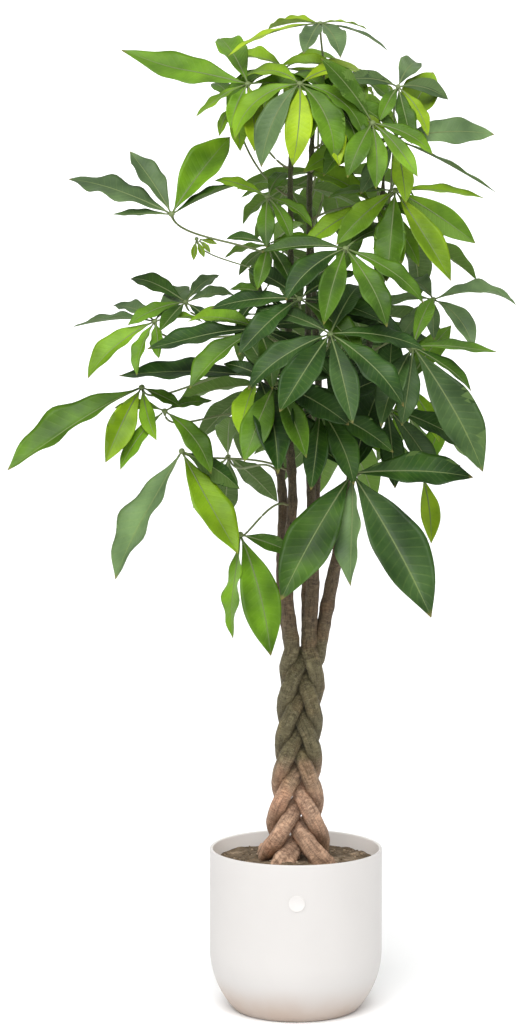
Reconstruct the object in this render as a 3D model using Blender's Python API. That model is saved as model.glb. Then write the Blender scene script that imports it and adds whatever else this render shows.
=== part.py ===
"""Potted money tree: a planter with soil, five braided trunks and their compound leaves.

Metres, +Z up. The origin is the centre of the planter's base, and the front is -Y.
"""
import math
from collections import namedtuple

import bmesh
import bpy
from mathutils import Matrix, Vector
from mathutils.bvhtree import BVHTree

UP = Vector((0, 0, 1))
BACK = Vector((0, 1, 0))

# Planter: a straight wall on a rounded bottom with a flat foot
POT_RADIUS = 0.1125
POT_HEIGHT = 0.2125
POT_WALL = 0.004
POT_FLOOR = 0.007
BELLY_HEIGHT = 0.078        # where the rounded bottom meets the straight wall
BELLY_RADIUS = 0.112
RIM_CHAMFER = 0.001
ROUND_SIDES = 40
SHARP_ANGLE = math.radians(40)  # edges sharper than this are shown as edges

# Soil: fills the planter to just below its rim
SOIL_TOP = 0.1955
SOIL_MOUND = 0.003
SOIL_SHOULDER = 0.55        # where the mound begins to fall, over the soil's radius
SOIL_GAP = 0.0006
SOCKET_GAP = 0.0005         # round each root
SOCKET_OVERSHOOT = 0.03     # how far a socket's cutter stands above the soil

# Braid: each strand swings sideways once and front to back twice in a period
STRANDS = 5
BRAID_TOP = 0.475
BRAID_PERIOD = 0.245
BRAID_HALF_WIDTH = 0.0193
BRAID_FLARE = 0.020         # extra half width at the soil
BRAID_FLARE_HEIGHT = 0.065
BRAID_DEPTH_RATIO = 0.9
BRAID_LEAN = 0.010          # sideways lean of the braid at its top
ROOT_DEPTH = 0.045
ROOT_COLLAR = 0.012         # a root has its full girth this far above and below the soil's top
TRUNK_SIDES = 8
BRAID_STEP = 0.0175         # height between two rings of a strand
STEM_STEP = 0.040
STEM_TIP = 0.0012           # radius of a stem's very tip
LOOK = 0.004                # how far up and down a trunk's heading is read from

# Height and radius of every trunk, from the buried root up
TRUNK_TAPER = (
    (SOIL_TOP - ROOT_DEPTH, 0.0040),
    (SOIL_TOP - ROOT_COLLAR, 0.0105),
    (SOIL_TOP + ROOT_COLLAR, 0.0105),
    (0.250, 0.0093),
    (0.300, 0.0083),
    (0.350, 0.0076),
    (0.555, 0.0076),
    (0.600, 0.0068),
    (0.675, 0.0058),
    (0.900, 0.0043),
    (1.120, 0.0030),
    (1.240, 0.0022),
)

# Where each trunk runs once it has left the braid
STEM_ROUTES = (
    ((0.045, 0.000, 0.555), (0.067, -0.008, 0.675), (0.085, 0.002, 0.800),
     (0.103, 0.015, 0.950), (0.112, 0.020, 1.085)),
    ((0.021, -0.012, 0.555), (0.019, -0.010, 0.675), (0.014, 0.000, 0.800),
     (0.016, 0.008, 0.950), (0.018, 0.010, 1.100), (0.028, 0.014, 1.215)),
    ((-0.017, 0.030, 0.555), (-0.018, 0.045, 0.675), (-0.035, 0.065, 0.800),
     (-0.050, 0.080, 0.960)),
    ((-0.013, -0.020, 0.555), (-0.005, -0.024, 0.675), (-0.013, -0.012, 0.800),
     (-0.008, -0.004, 0.950), (-0.008, -0.006, 1.080), (-0.004, -0.016, 1.165)),
    ((0.016, 0.034, 0.555), (0.026, 0.062, 0.675), (0.030, 0.086, 0.800),
     (0.022, 0.104, 0.950), (0.016, 0.112, 1.090)),
)

# Leaves: blades are drawn as thin plates
BLADE_THICKNESS = 0.0016
BLADE_SLENDERNESS = 0.28    # full width over length
BLADE_RINGS = (0.08, 0.26, 0.60, 1.0)
BLADE_TIP = 0.06            # width at the tip over the full width
SHORTEST_REACH = 0.66       # length of a leaflet that points back over the leaf stalk
HUB_RADIUS = 0.0042
HUB_THICKNESS = 0.0036
HUB_SIDE = math.radians(32)  # widest half angle of a hub's side
STALK_RADIUS = 0.0017
STALK_RINGS = (0.08, 0.35, 0.68, 1.0)
STALK_CURVE = 0.36          # how strongly a leaf stalk bows, over its length
STALK_RISE = math.radians(30)
STALK_GAP = 0.0012          # between a leaf stalk's end and its trunk
CLEARANCE = 0.0006          # kept round every blade while the leaves are arranged
SMALL_BEND = 0.02

Leaf = namedtuple("Leaf", "trunk join hub face size droop leaflets")
Plan = namedtuple("Plan", "clock scale roll", defaults=(1.0, 0))

# One row a leaf: trunk number, height of its joint on the trunk, hub, the azimuth and
# elevation that its upper side faces, length of its longest leaflet, droop in degrees, and
# each leaflet's clock angle as it is seen from the front, 0 to the right and 90 up. Where more
# is given for a leaflet, it is how much longer or shorter than usual it is, and then how many
# degrees it is rolled about its own length.
LEAVES = (
    Leaf(2, 1.190, (0.030, 0.020, 1.278), (-90, 75), 0.125, 32,
         ((-6, 0.95, -10), (16, 0.8), (168, 0.8), (184, 1.25, 6), (228, 0.85), (326, 0.9))),
    Leaf(4, 1.130, (0.003, -0.060, 1.199), (-90, 50), 0.140, 62,
         (-4, (36, 1.15), (146, 0.9), 186, (222, 1.1), 262, 306)),
    Leaf(4, 1.095, (-0.062, -0.020, 1.200), (-90, 50), 0.150, 34,
         ((165, 1.12, -8), (198, 0.6, 20), (236, 0.6), (274, 0.95), (8, 0.8), 112)),
    Leaf(2, 1.090, (0.041, -0.050, 1.181), (-75, 50), 0.120, 50,
         (272, 312, 350, 50, 130, 215)),
    Leaf(1, 1.060, (0.129, 0.000, 1.197), (-65, 45), 0.090, 35,
         ((66, 1.1), (10, 1, 25), (165, 1, -20), 222, (262, 1.25), (318, 1.1))),
    Leaf(1, 1.030, (0.125, -0.020, 1.131), (-80, 40), 0.155, 16,
         ((12, 1, 8), (-22, 1.15, -48), (282, 0.8), (252, 0.8), 205, 150, 60)),
    Leaf(2, 1.030, (0.124, -0.050, 1.066), (-80, 30), 0.145, 18,
         ((4, 0.8, -40), (-28, 0.85, 35), (-57, 1.02), (-89, 1.05, 20), 213, (176, 0.8, 40))),
    Leaf(1, 0.860, (0.178, 0.050, 0.925), (-100, 60), 0.125, 42,
         ((18, 1, -5), (-24, 0.9), (262, 0.7), 120, 170, 215)),
    Leaf(1, 0.810, (0.145, -0.100, 0.871), (-75, 30), 0.165, 20,
         ((5, 0.74, -38), (-27, 0.62, -30), (-54, 1.25, 12), (262, 0.75), (236, 0.9, 25), (75, 0.6), 140)),
    Leaf(1, 0.660, (0.068, -0.140, 0.716), (-88, 35), 0.190, 14,
         ((5, 0.95), (-56, 1.28), (-81, 0.88, 42), (234, 1.15), 125, 75)),
    Leaf(4, 0.665, (-0.072, -0.060, 0.630), (-100, 30), 0.155, 14,
         ((-66, 1.22), (-97, 0.9, 48), (-12, 0.6))),
    Leaf(4, 0.710, (-0.147, -0.030, 0.734), (-110, 25), 0.180, 12,
         ((239, 1.12, 24), (-61, 1.15, -34), (-20, 0.75, 30))),
    Leaf(4, 0.830, (-0.199, 0.000, 0.814), (-100, 40), 0.195, 12,
         ((204, 1.04, 14), (238, 0.62, -30), (264, 0.5, 30), (-20, 0.42))),
    Leaf(3, 0.770, (-0.169, -0.020, 0.785), (-90, 50), 0.105, 30,
         ((207, 0.9, 10), (-31, 1.35), (160, 0.7), (25, 0.9))),
    Leaf(4, 0.800, (-0.049, -0.080, 0.832), (-95, 60), 0.185, 18,
         ((172, 1.15, 3), (240, 0.62, 20), 285, -30, 25, 100)),
    Leaf(4, 0.870, (-0.182, 0.000, 0.899), (-100, 55), 0.110, 30,
         ((171, 1, 26), (150, 0.8), (206, 1.08), (238, 0.9, 25), (285, 0.7, 30), (46, 1.2, 20),
          (14, 0.8, -20))),
    Leaf(4, 0.850, (-0.049, -0.080, 0.893), (-95, 55), 0.140, 26,
         ((158, 0.9), (182, 1.1, 5), (206, 0.95, 12), (-60, 0.8), -15, 25)),
    Leaf(4, 0.975, (-0.159, -0.030, 1.036), (-95, 35), 0.145, 16,
         ((153, 1.06, 25), (127, 0.85, 20), (58, 1.22), (31, 0.9, -45), (177, 0.5, 30))),
    Leaf(4, 0.950, (-0.128, 0.000, 1.004), (-90, 35), 0.034, 20,
         (258, 285, 312, 340)),
    Leaf(4, 1.030, (-0.037, -0.040, 1.058), (-85, 50), 0.090, 26,
         (262, -55, -22, 152, 60)),
    Leaf(4, 0.960, (-0.037, -0.060, 0.999), (-90, 45), 0.075, 26,
         ((163, 0.8), -50, -100, 20)),
    Leaf(4, 0.905, (-0.040, -0.040, 0.932), (-90, 45), 0.055, 50,
         (200, 250, 150, -30)),
    Leaf(2, 0.850, (0.040, -0.150, 0.890), (-85, 50), 0.145, 28,
         (5, -30, -62, -110, 198, 150, 60)),
    Leaf(2, 0.900, (0.003, -0.100, 0.931), (-90, 50), 0.130, 30,
         (175, 215, 140, -40, 0, 40)),
    Leaf(2, 0.950, (0.060, -0.100, 0.994), (-80, 50), 0.130, 30,
         (170, 200, 235, -50, -15, 40)),
    Leaf(4, 0.770, (-0.028, -0.130, 0.827), (-92, 30), 0.140, 18,
         (-70, 248, -30, (150, 0.6), 112, 30)),
    Leaf(2, 0.755, (0.028, -0.130, 0.796), (-88, 35), 0.120, 20,
         (-95, -60, -20, 30, 200, (150, 0.85))),
    Leaf(1, 0.700, (0.166, 0.060, 0.694), (-80, 40), 0.110, 16,
         ((-76, 1.08), (20, 0.5), 70, 140)),
    Leaf(1, 0.760, (0.147, 0.070, 0.813), (-85, 35), 0.110, 16,
         (-53, -108, 150, 60)),
    Leaf(5, 1.060, (0.030, 0.150, 1.185), (90, 65), 0.135, 45,
         (178, 198, 232, 308, 342, 2)),
    Leaf(5, 1.010, (0.040, 0.225, 1.090), (90, 60), 0.145, 35,
         (178, 200, 237, 303, 340, 2)),
    Leaf(5, 0.940, (-0.030, 0.235, 0.990), (90, 58), 0.145, 32,
         ((178, 0.5), (202, 0.5), (238, 0.65), 302, 340, 60)),
    Leaf(3, 0.900, (-0.050, 0.185, 0.900), (105, 55), 0.140, 30,
         ((178, 0.8), (236, 0.7), 300, 342)),
    Leaf(5, 0.850, (0.075, 0.235, 0.900), (80, 55), 0.150, 32,
         (178, 203, 239, 301, 338, 3)),
    Leaf(3, 0.790, (-0.040, 0.245, 0.800), (95, 50), 0.150, 28,
         (177, 205, 242, 298, 336, 90)),
    Leaf(5, 0.730, (0.060, 0.215, 0.745), (85, 48), 0.150, 26,
         (180, 207, 243, 297, 335, 80)),
    Leaf(3, 0.700, (-0.090, 0.160, 0.710), (115, 45), 0.140, 24,
         ((228, 0.7), 268, 312, 90)),
    Leaf(1, 0.790, (0.150, 0.150, 0.770), (55, 50), 0.130, 26,
         (196, 240, 298, 334, 15)),
    Leaf(1, 0.930, (0.145, 0.140, 1.010), (60, 55), 0.130, 30,
         ((190, 0.5), 236, 300, 338, 12)),
    Leaf(3, 0.930, (-0.010, 0.150, 1.070), (110, 55), 0.125, 32,
         ((176, 0.7), (204, 0.8), 242, 304, 345)),
    Leaf(2, 1.150, (-0.015, 0.035, 1.222), (-90, 55), 0.115, 48,
         ((148, 0.9), 190, 232, 300, 346, (35, 1.1))),
    Leaf(2, 1.120, (0.066, 0.005, 1.214), (-80, 52), 0.120, 44,
         ((160, 0.9), 215, 262, 308, (345, 1.1), (25, 1.1))),
    Leaf(1, 1.045, (0.094, -0.065, 1.150), (-88, 42), 0.115, 34,
         ((198, 0.9), 235, 272, 308, (345, 0.9), 140)),
    Leaf(4, 1.060, (-0.079, 0.020, 1.176), (-95, 50), 0.100, 36,
         ((228, 0.65), 270, 312, 350, (120, 0.8))),
    Leaf(2, 0.820, (0.070, 0.070, 0.860), (-70, 45), 0.135, 26,
         (200, 242, 292, 330, 15, 130)),
    Leaf(1, 0.720, (0.115, -0.045, 0.790), (-80, 38), 0.140, 20,
         (186, 228, 268, 308, 345, 110)),
    Leaf(4, 0.890, (-0.143, 0.030, 0.922), (-95, 48), 0.090, 24,
         (54, 22, 198, 240, (-42, 0.9), 150)),
    Leaf(1, 0.985, (0.096, -0.030, 1.049), (-88, 42), 0.125, 26,
         (200, 238, 278, 312, 346, 150)),
)

# Turns in the leaf's plane and out of it, in degrees, that a leaflet may take to find room
SWINGS = (0, 7, -7, 14, -14, 21, -21, 28, -28)
LIFTS = (0, 8, -8, 16, -16, 24, -24, 32, -32, 40, -40)
SHRINKS = (1.0, 0.85, 0.70, 0.55)

# How far, in metres, a leaf's joint may slide along its trunk to find room for its stalk
SLIDES = (0, 0.006, -0.006, 0.012, -0.012, 0.018, -0.018, 0.024, -0.024, 0.03, -0.03)

# Colours, linear RGB
POT_COLOUR = (0.80, 0.78, 0.74)
SOIL_COLOUR = (0.115, 0.080, 0.050)
BARK_COLOUR = (0.190, 0.125, 0.075)
LEAF_COLOURS = ((0.060, 0.150, 0.020), (0.035, 0.105, 0.025), (0.110, 0.220, 0.015))


def make_material(name, colour, roughness):
    """A plain Principled material."""
    material = bpy.data.materials.new(name)
    material.use_nodes = True
    shader = material.node_tree.nodes["Principled BSDF"]
    shader.inputs["Base Color"].default_value = (*colour, 1)
    shader.inputs["Roughness"].default_value = roughness
    shader.inputs["Metallic"].default_value = 0
    return material


def add_object(name, bm, material):
    """Turn a bmesh into a smooth-shaded object with one material."""
    bmesh.ops.recalc_face_normals(bm, faces=bm.faces)
    mesh = bpy.data.meshes.new(name)
    bm.to_mesh(mesh)
    bm.free()
    mesh.shade_smooth()
    mesh.set_sharp_from_angle(angle=SHARP_ANGLE)
    mesh.materials.append(material)
    piece = bpy.data.objects.new(name, mesh)
    bpy.context.scene.collection.objects.link(piece)
    return piece


def turned(profile):
    """Spin a profile of (radius, height) points, which starts and ends on the axis, about Z."""
    bm = bmesh.new()
    points = [bm.verts.new((radius, 0, height)) for radius, height in profile]
    edges = [bm.edges.new(pair) for pair in zip(points, points[1:])]
    bmesh.ops.spin(bm, geom=points + edges, cent=(0, 0, 0), axis=UP, angle=2 * math.pi,
                   steps=ROUND_SIDES, use_merge=True)
    bmesh.ops.remove_doubles(bm, verts=bm.verts, dist=1e-6)
    return bm


def pot_radius(height):
    """The planter's outer radius at a height."""
    below = max(BELLY_HEIGHT - height, 0)
    return POT_RADIUS - BELLY_RADIUS + math.sqrt(BELLY_RADIUS ** 2 - below ** 2)


def heights(low, high, count):
    """Evenly spaced heights from low to high, both included."""
    return [low + (high - low) * step / count for step in range(count + 1)]


def make_pot():
    """The planter, open at the top, with a chamfered rim."""
    outside = [(pot_radius(height), height) for height in heights(0, BELLY_HEIGHT, 5)]
    inside = [(pot_radius(height) - POT_WALL, height) for height in heights(BELLY_HEIGHT, POT_FLOOR, 4)]
    inner = POT_RADIUS - POT_WALL
    rim = [(POT_RADIUS, POT_HEIGHT - RIM_CHAMFER), (POT_RADIUS - RIM_CHAMFER, POT_HEIGHT),
           (inner + RIM_CHAMFER, POT_HEIGHT), (inner, POT_HEIGHT - RIM_CHAMFER)]
    profile = [(0, 0), *outside, *rim, *inside, (0, POT_FLOOR)]
    return add_object("pot", turned(profile), make_material("glazed_pot", POT_COLOUR, 0.45))


def make_soil():
    """The potting soil, with a socket for each trunk's root."""
    side = [(pot_radius(height) - POT_WALL - SOIL_GAP, height)
            for height in heights(POT_FLOOR, BELLY_HEIGHT, 4)]
    side[0] = (side[0][0], POT_FLOOR + SOIL_GAP)
    edge = POT_RADIUS - POT_WALL - SOIL_GAP
    top = [(edge, SOIL_TOP - SOIL_MOUND), (edge * SOIL_SHOULDER, SOIL_TOP - SOIL_MOUND / 4), (0, SOIL_TOP)]
    profile = [(0, POT_FLOOR + SOIL_GAP), *side, *top]
    soil = add_object("soil", turned(profile), make_material("soil", SOIL_COLOUR, 0.95))
    sockets = bmesh.new()
    for strand in range(STRANDS):
        low = SOIL_TOP - ROOT_DEPTH
        rings = [trunk_ring(strand, height, SOCKET_GAP) for height in trunk_heights(strand)
                 if height < SOIL_TOP + SOCKET_OVERSHOOT]
        rings[0] = [point - UP * SOCKET_GAP for point in trunk_ring(strand, low, SOCKET_GAP)]
        sweep(sockets, rings)
    cutter = add_object("soil_sockets", sockets, soil.data.materials[0])
    cutter.hide_render = True
    cutter.display_type = "WIRE"
    cut = soil.modifiers.new("sockets", "BOOLEAN")
    cut.operation = "DIFFERENCE"
    cut.solver = "EXACT"
    cut.object = cutter
    return soil


def braid_point(strand, height):
    """Middle of a strand while it is in the braid."""
    rise = height - SOIL_TOP
    width = BRAID_HALF_WIDTH + BRAID_FLARE * math.exp(-max(rise, 0) / BRAID_FLARE_HEIGHT)
    turn = 2 * math.pi * ((height - BRAID_TOP) / BRAID_PERIOD + 0.25 + strand / STRANDS)
    lean = BRAID_LEAN * (max(rise, 0) / (BRAID_TOP - SOIL_TOP)) ** 2
    across = lean + width * math.sin(turn)
    return Vector((across, width * BRAID_DEPTH_RATIO * math.sin(2 * turn), height))


def hermite(points, height):
    """Read a smooth curve through points of rising height at one height."""
    last = len(points) - 2
    span = max(index for index in range(last + 1) if index == 0 or points[index].z <= height)
    low, high = points[span], points[span + 1]

    def slope(index):
        before, after = points[max(index - 1, 0)], points[min(index + 1, last + 1)]
        return (after - before) / (after.z - before.z)

    rise = high.z - low.z
    part = (height - low.z) / rise
    square, cube = part ** 2, part ** 3
    point = (low * (2 * cube - 3 * square + 1) + high * (3 * square - 2 * cube)
             + slope(span) * rise * (cube - 2 * square + part)
             + slope(span + 1) * rise * (cube - square))
    point.z = height
    return point


def trunk_point(strand, height):
    """Middle of a trunk at a height: root, braid, then the free stem."""
    if height <= SOIL_TOP:
        point = braid_point(strand, SOIL_TOP)
        point.z = height
        return point
    if height <= BRAID_TOP:
        return braid_point(strand, height)
    start = [braid_point(strand, BRAID_TOP - BRAID_STEP), braid_point(strand, BRAID_TOP)]
    return hermite(start + [Vector(point) for point in STEM_ROUTES[strand]], height)


def trunk_top(strand):
    """Height of a trunk's tip."""
    return STEM_ROUTES[strand][-1][2]


def trunk_radius(strand, height):
    """Radius of a trunk at a height; a stem narrows quickly just below its tip."""
    low = max(index for index, row in enumerate(TRUNK_TAPER[:-1]) if index == 0 or row[0] <= height)
    (z0, r0), (z1, r1) = TRUNK_TAPER[low], TRUNK_TAPER[low + 1]
    radius = r0 + (r1 - r0) * (height - z0) / (z1 - z0)
    if height > trunk_top(strand) - 1e-6:
        return STEM_TIP
    return radius


def trunk_heights(strand):
    """Heights of a trunk's rings, closer together in the braid."""
    braid = round((BRAID_TOP - SOIL_TOP) / BRAID_STEP)
    stem = round((trunk_top(strand) - BRAID_TOP) / STEM_STEP)
    root = [SOIL_TOP - ROOT_DEPTH, SOIL_TOP - ROOT_COLLAR]
    return root + heights(SOIL_TOP, BRAID_TOP, braid) + heights(BRAID_TOP, trunk_top(strand), stem)[1:]


def trunk_ring(strand, height, extra=0.0):
    """Corners of a trunk's section, square to the trunk."""
    ahead, behind = trunk_point(strand, height + LOOK), trunk_point(strand, height - LOOK)
    heading = (ahead - behind).normalized()
    side = BACK.cross(heading).normalized()
    back = heading.cross(side)
    radius = trunk_radius(strand, height) + extra
    middle = trunk_point(strand, height)
    turns = [2 * math.pi * corner / TRUNK_SIDES for corner in range(TRUNK_SIDES)]
    return [middle + (side * math.cos(turn) + back * math.sin(turn)) * radius for turn in turns]


def prism(bm, low, high):
    """A closed prism between two rings of corners; returns its low and high vertices in order."""
    made = bmesh.ops.create_cone(bm, cap_ends=True, cap_tris=False, segments=len(low),
                                 radius1=1, radius2=1, depth=2)["verts"]

    def by_angle(vert):
        return (math.atan2(vert.co.y, vert.co.x) + 0.01) % (2 * math.pi)

    bottom = sorted((vert for vert in made if vert.co.z < 0), key=by_angle)
    top = sorted((vert for vert in made if vert.co.z > 0), key=by_angle)
    for vert, point in zip(bottom + top, list(low) + list(high)):
        vert.co = point
    return bottom, top


def grow(bm, corners, rings):
    """Extrude the face whose vertices are `corners` from ring to ring."""
    for ring in rings:
        end = bmesh.ops.extrude_discrete_faces(bm, faces=[bm.faces.get(corners)])["faces"][0]
        corners = [min(end.verts, key=lambda vert: (vert.co - corner.co).length) for corner in corners]
        for corner, point in zip(corners, ring):
            corner.co = point


def sweep(bm, rings):
    """A closed tube through rings of corners."""
    _, top = prism(bm, rings[0], rings[1])
    grow(bm, top, rings[2:])


def make_trunk(strand, material):
    """One whole trunk, from its root to its tip."""
    bm = bmesh.new()
    sweep(bm, [trunk_ring(strand, height) for height in trunk_heights(strand)])
    return add_object(f"trunk_{strand + 1}", bm, material)


def direction(azimuth, elevation):
    """Unit vector for an azimuth and an elevation in degrees."""
    turn, rise = math.radians(azimuth), math.radians(elevation)
    return Vector((math.cos(turn) * math.cos(rise), math.sin(turn) * math.cos(rise), math.sin(rise)))


def clock_heading(face, clock):
    """The direction in the plane square to `face` that is seen at a clock angle from the front."""
    turn = math.radians(clock)
    heading = Vector((math.cos(turn), 0, math.sin(turn)))
    heading.y = -(face.x * heading.x + face.z * heading.z) / face.y
    return heading.normalized()


def outline(along):
    """A blade's width over its full width, from its base (0) to its tip (1)."""
    return max(math.sin(math.pi * along ** 1.25), BLADE_TIP)


class Leaflet:
    """A blade that leaves the hub in the leaf's plane and bends down along an arc."""

    def __init__(self, hub, face, heading, length, droop):
        self.heading = heading
        self.face = face
        self.across = face.cross(heading)
        self.axis = UP.cross(heading).normalized()
        self.down = self.axis.cross(heading)
        self.start = hub + heading * HUB_RADIUS
        self.length = length
        level = math.hypot(heading.x, heading.y)
        self.bend = max(math.radians(droop) * level, SMALL_BEND)

    def frame(self, along):
        """Middle of the blade and its sideways and upward directions, part way along."""
        angle = self.bend * along
        turn = Matrix.Rotation(angle, 3, self.axis)
        path = self.heading * math.sin(angle) + self.down * (1 - math.cos(angle))
        return self.start + path * (self.length / self.bend), turn @ self.across, turn @ self.face

    def ring(self, along, margin=0.0):
        """The four corners of the blade's section."""
        middle, across, face = self.frame(along)
        side = across * (self.length * BLADE_SLENDERNESS / 2 * outline(along) + margin)
        rise = face * (BLADE_THICKNESS / 2 + margin)
        return [middle - side - rise, middle + side - rise, middle + side + rise, middle - side + rise]

    def rings(self, margin=0.0):
        """All sections outside the hub."""
        return [self.ring(along, margin) for along in BLADE_RINGS]


def leaflet_plan(entry):
    """A leaflet's clock angle, relative length and roll from its entry in a leaf's row."""
    return Plan(*entry) if isinstance(entry, tuple) else Plan(entry)


def turned_leaflet(leaf, entry, swing, lift, shrink):
    """The leaflet of an entry, swung in the leaf's plane, lifted out of it and shrunk."""
    plan = leaflet_plan(entry)
    hub, face = Vector(leaf.hub), direction(*leaf.face)
    flat = Matrix.Rotation(math.radians(swing), 3, face) @ clock_heading(face, plan.clock)
    raised = math.radians(lift)
    heading = flat * math.cos(raised) + face * math.sin(raised)
    upward = face * math.cos(raised) - flat * math.sin(raised)
    rolled = Matrix.Rotation(math.radians(plan.roll), 3, heading) @ upward
    outward = (hub - trunk_point(leaf.trunk - 1, leaf.join)).normalized()
    reach = SHORTEST_REACH + (1 - SHORTEST_REACH) * (1 + flat.dot(outward)) / 2
    return Leaflet(hub, rolled, heading, leaf.size * reach * plan.scale * shrink, leaf.droop)


def hub_corners(leaf, headings):
    """Angles of the hub's corners about its face, and for each leaflet the corner it starts at."""
    face = direction(*leaf.face)
    side = headings[0]
    other = face.cross(side)
    angles = [math.atan2(heading.dot(other), heading.dot(side)) % (2 * math.pi) for heading in headings]
    order = sorted(range(len(angles)), key=angles.__getitem__)
    corners, starts = [], {}
    for place, index in enumerate(order):
        before, after = order[place - 1], order[(place + 1) % len(order)]
        gap_before = (angles[index] - angles[before]) % (2 * math.pi)
        gap_after = (angles[after] - angles[index]) % (2 * math.pi)
        if gap_before > 2 * HUB_SIDE or not corners:
            corners.append(angles[index] - min(gap_before / 2, HUB_SIDE))
        starts[index] = len(corners) - 1
        if place < len(order) - 1 or gap_after > 2 * HUB_SIDE:
            corners.append(angles[index] + min(gap_after / 2, HUB_SIDE))
    arms = [side * math.cos(angle) + other * math.sin(angle) for angle in corners]
    return arms, [starts[index] for index in range(len(angles))]


def stalk_path(leaf, slide, part):
    """Point and heading on the leaf stalk, from the hub (0) to its trunk (1)."""
    height = leaf.join + slide
    hub, face = Vector(leaf.hub), direction(*leaf.face)
    middle = trunk_point(leaf.trunk - 1, height)
    level = Vector((hub.x - middle.x, hub.y - middle.y, 0)).normalized()
    outward = level * math.cos(STALK_RISE) + UP * math.sin(STALK_RISE)
    end = middle + level * (trunk_radius(leaf.trunk - 1, height) + STALK_GAP + STALK_RADIUS)
    start = hub - face * HUB_THICKNESS / 2
    bow = (end - start).length * STALK_CURVE
    leave, arrive = start - face * bow, end + outward * bow
    rest = 1 - part
    point = (start * rest ** 3 + leave * 3 * rest ** 2 * part
             + arrive * 3 * rest * part ** 2 + end * part ** 3)
    heading = ((leave - start) * rest ** 2 + (arrive - leave) * 2 * rest * part
               + (end - arrive) * part ** 2).normalized()
    return point, heading


def stalk_rings(leaf, slide, arms, margin=0.0):
    """Sections of the leaf stalk, from the hub's underside to the trunk."""
    heading = -direction(*leaf.face)
    rings = []
    for part in STALK_RINGS:
        point, onward = stalk_path(leaf, slide, part)
        turn = heading.rotation_difference(onward)
        arms = [turn @ arm for arm in arms]
        heading = onward
        rings.append([point + arm * (STALK_RADIUS + margin) for arm in arms])
    return rings


def hub_ring(leaf, arms, side, margin=0.0):
    """The hub's corners on its upper (1) or lower (-1) side."""
    middle = Vector(leaf.hub) + direction(*leaf.face) * side * (HUB_THICKNESS / 2 + margin)
    return [middle + arm * (HUB_RADIUS + margin) for arm in arms]


def shell(rings):
    """A search tree over the closed tube through rings of corners."""
    count = len(rings[0])
    points = [point for ring in rings for point in ring]
    faces = [list(range(count)), [len(points) - 1 - corner for corner in range(count)]]
    for low in range(0, len(points) - count, count):
        for corner in range(count):
            after = (corner + 1) % count
            faces.append([low + corner, low + after, low + count + after, low + count + corner])
    return BVHTree.FromPolygons(points, faces), bounds(points)


def bounds(points):
    """Lowest and highest corner of some points."""
    return ([min(point[axis] for point in points) for axis in range(3)],
            [max(point[axis] for point in points) for axis in range(3)])


def touches(one, others):
    """Whether a shell meets any other."""
    tree, (low, high) = one
    for other_tree, (other_low, other_high) in others:
        apart = any(low[axis] > other_high[axis] or other_low[axis] > high[axis] for axis in range(3))
        if not apart and tree.overlap(other_tree):
            return True
    return False


def settle_stalk(leaf, arms, taken):
    """How far the leaf's joint slides along its trunk for the stalk to be clear of the rest."""
    hub = [hub_ring(leaf, arms, -1, CLEARANCE)]
    for slide in SLIDES:
        rings = stalk_rings(leaf, slide, arms, CLEARANCE)
        if not touches(shell(hub + rings), taken):
            return slide
    raise ValueError(f"no room for the stalk of the leaf at {leaf.hub}")


def settle_leaflet(leaf, entry, taken, own):
    """The leaflet nearest to its planned place that is clear of the rest, or None."""
    moves = sorted(((swing, lift) for swing in SWINGS for lift in LIFTS),
                   key=lambda move: abs(move[0]) + abs(move[1]))
    for shrink in SHRINKS:
        for swing, lift in moves:
            leaflet = turned_leaflet(leaf, entry, swing, lift, shrink)
            outer = leaflet.rings(CLEARANCE)
            if touches(shell(outer), own):
                continue
            if not touches(shell([leaflet.ring(0, CLEARANCE), *outer]), taken):
                return leaflet
    return None


def arrange(leaves):
    """Give every leaf its leaflets and its stalk, all clear of each other and of the trunks."""
    trunks = [shell([trunk_ring(strand, height, CLEARANCE) for height in trunk_heights(strand)])
              for strand in range(STRANDS)]
    stalks = []
    arranged = []
    for leaf in leaves:
        face = direction(*leaf.face)
        planned = [clock_heading(face, leaflet_plan(entry).clock) for entry in leaf.leaflets]
        arms, _ = hub_corners(leaf, planned)
        slide = settle_stalk(leaf, arms, trunks + stalks)
        rings = [hub_ring(leaf, arms, 1, CLEARANCE), hub_ring(leaf, arms, -1, CLEARANCE),
                 *stalk_rings(leaf, slide, arms, CLEARANCE)]
        stalks.append(shell(rings))
        arranged.append((leaf, slide, shell(rings[2:])))
    blades = []
    finished = []
    for place, (leaf, slide, stalk) in enumerate(arranged):
        others = trunks + stalks[:place] + stalks[place + 1:] + blades
        own = [stalk]
        leaflets = []
        for entry in leaf.leaflets:
            leaflet = settle_leaflet(leaf, entry, others, own)
            if leaflet:
                leaflets.append(leaflet)
                own.append(shell(leaflet.rings(CLEARANCE)))
        blades += [shell([leaflet.ring(0, CLEARANCE), *leaflet.rings(CLEARANCE)]) for leaflet in leaflets]
        finished.append((leaf, slide, leaflets))
    return finished


def make_leaf(name, leaf, slide, leaflets, material):
    """A compound leaf: hub, leaf stalk and leaflets in one closed mesh."""
    bm = bmesh.new()
    arms, starts = hub_corners(leaf, [leaflet.heading for leaflet in leaflets])
    bottom, top = prism(bm, hub_ring(leaf, arms, -1), hub_ring(leaf, arms, 1))
    for leaflet, start in zip(leaflets, starts):
        after = (start + 1) % len(arms)
        grow(bm, [bottom[start], bottom[after], top[after], top[start]], leaflet.rings())
    grow(bm, bottom, stalk_rings(leaf, slide, arms))
    return add_object(name, bm, material)


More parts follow.
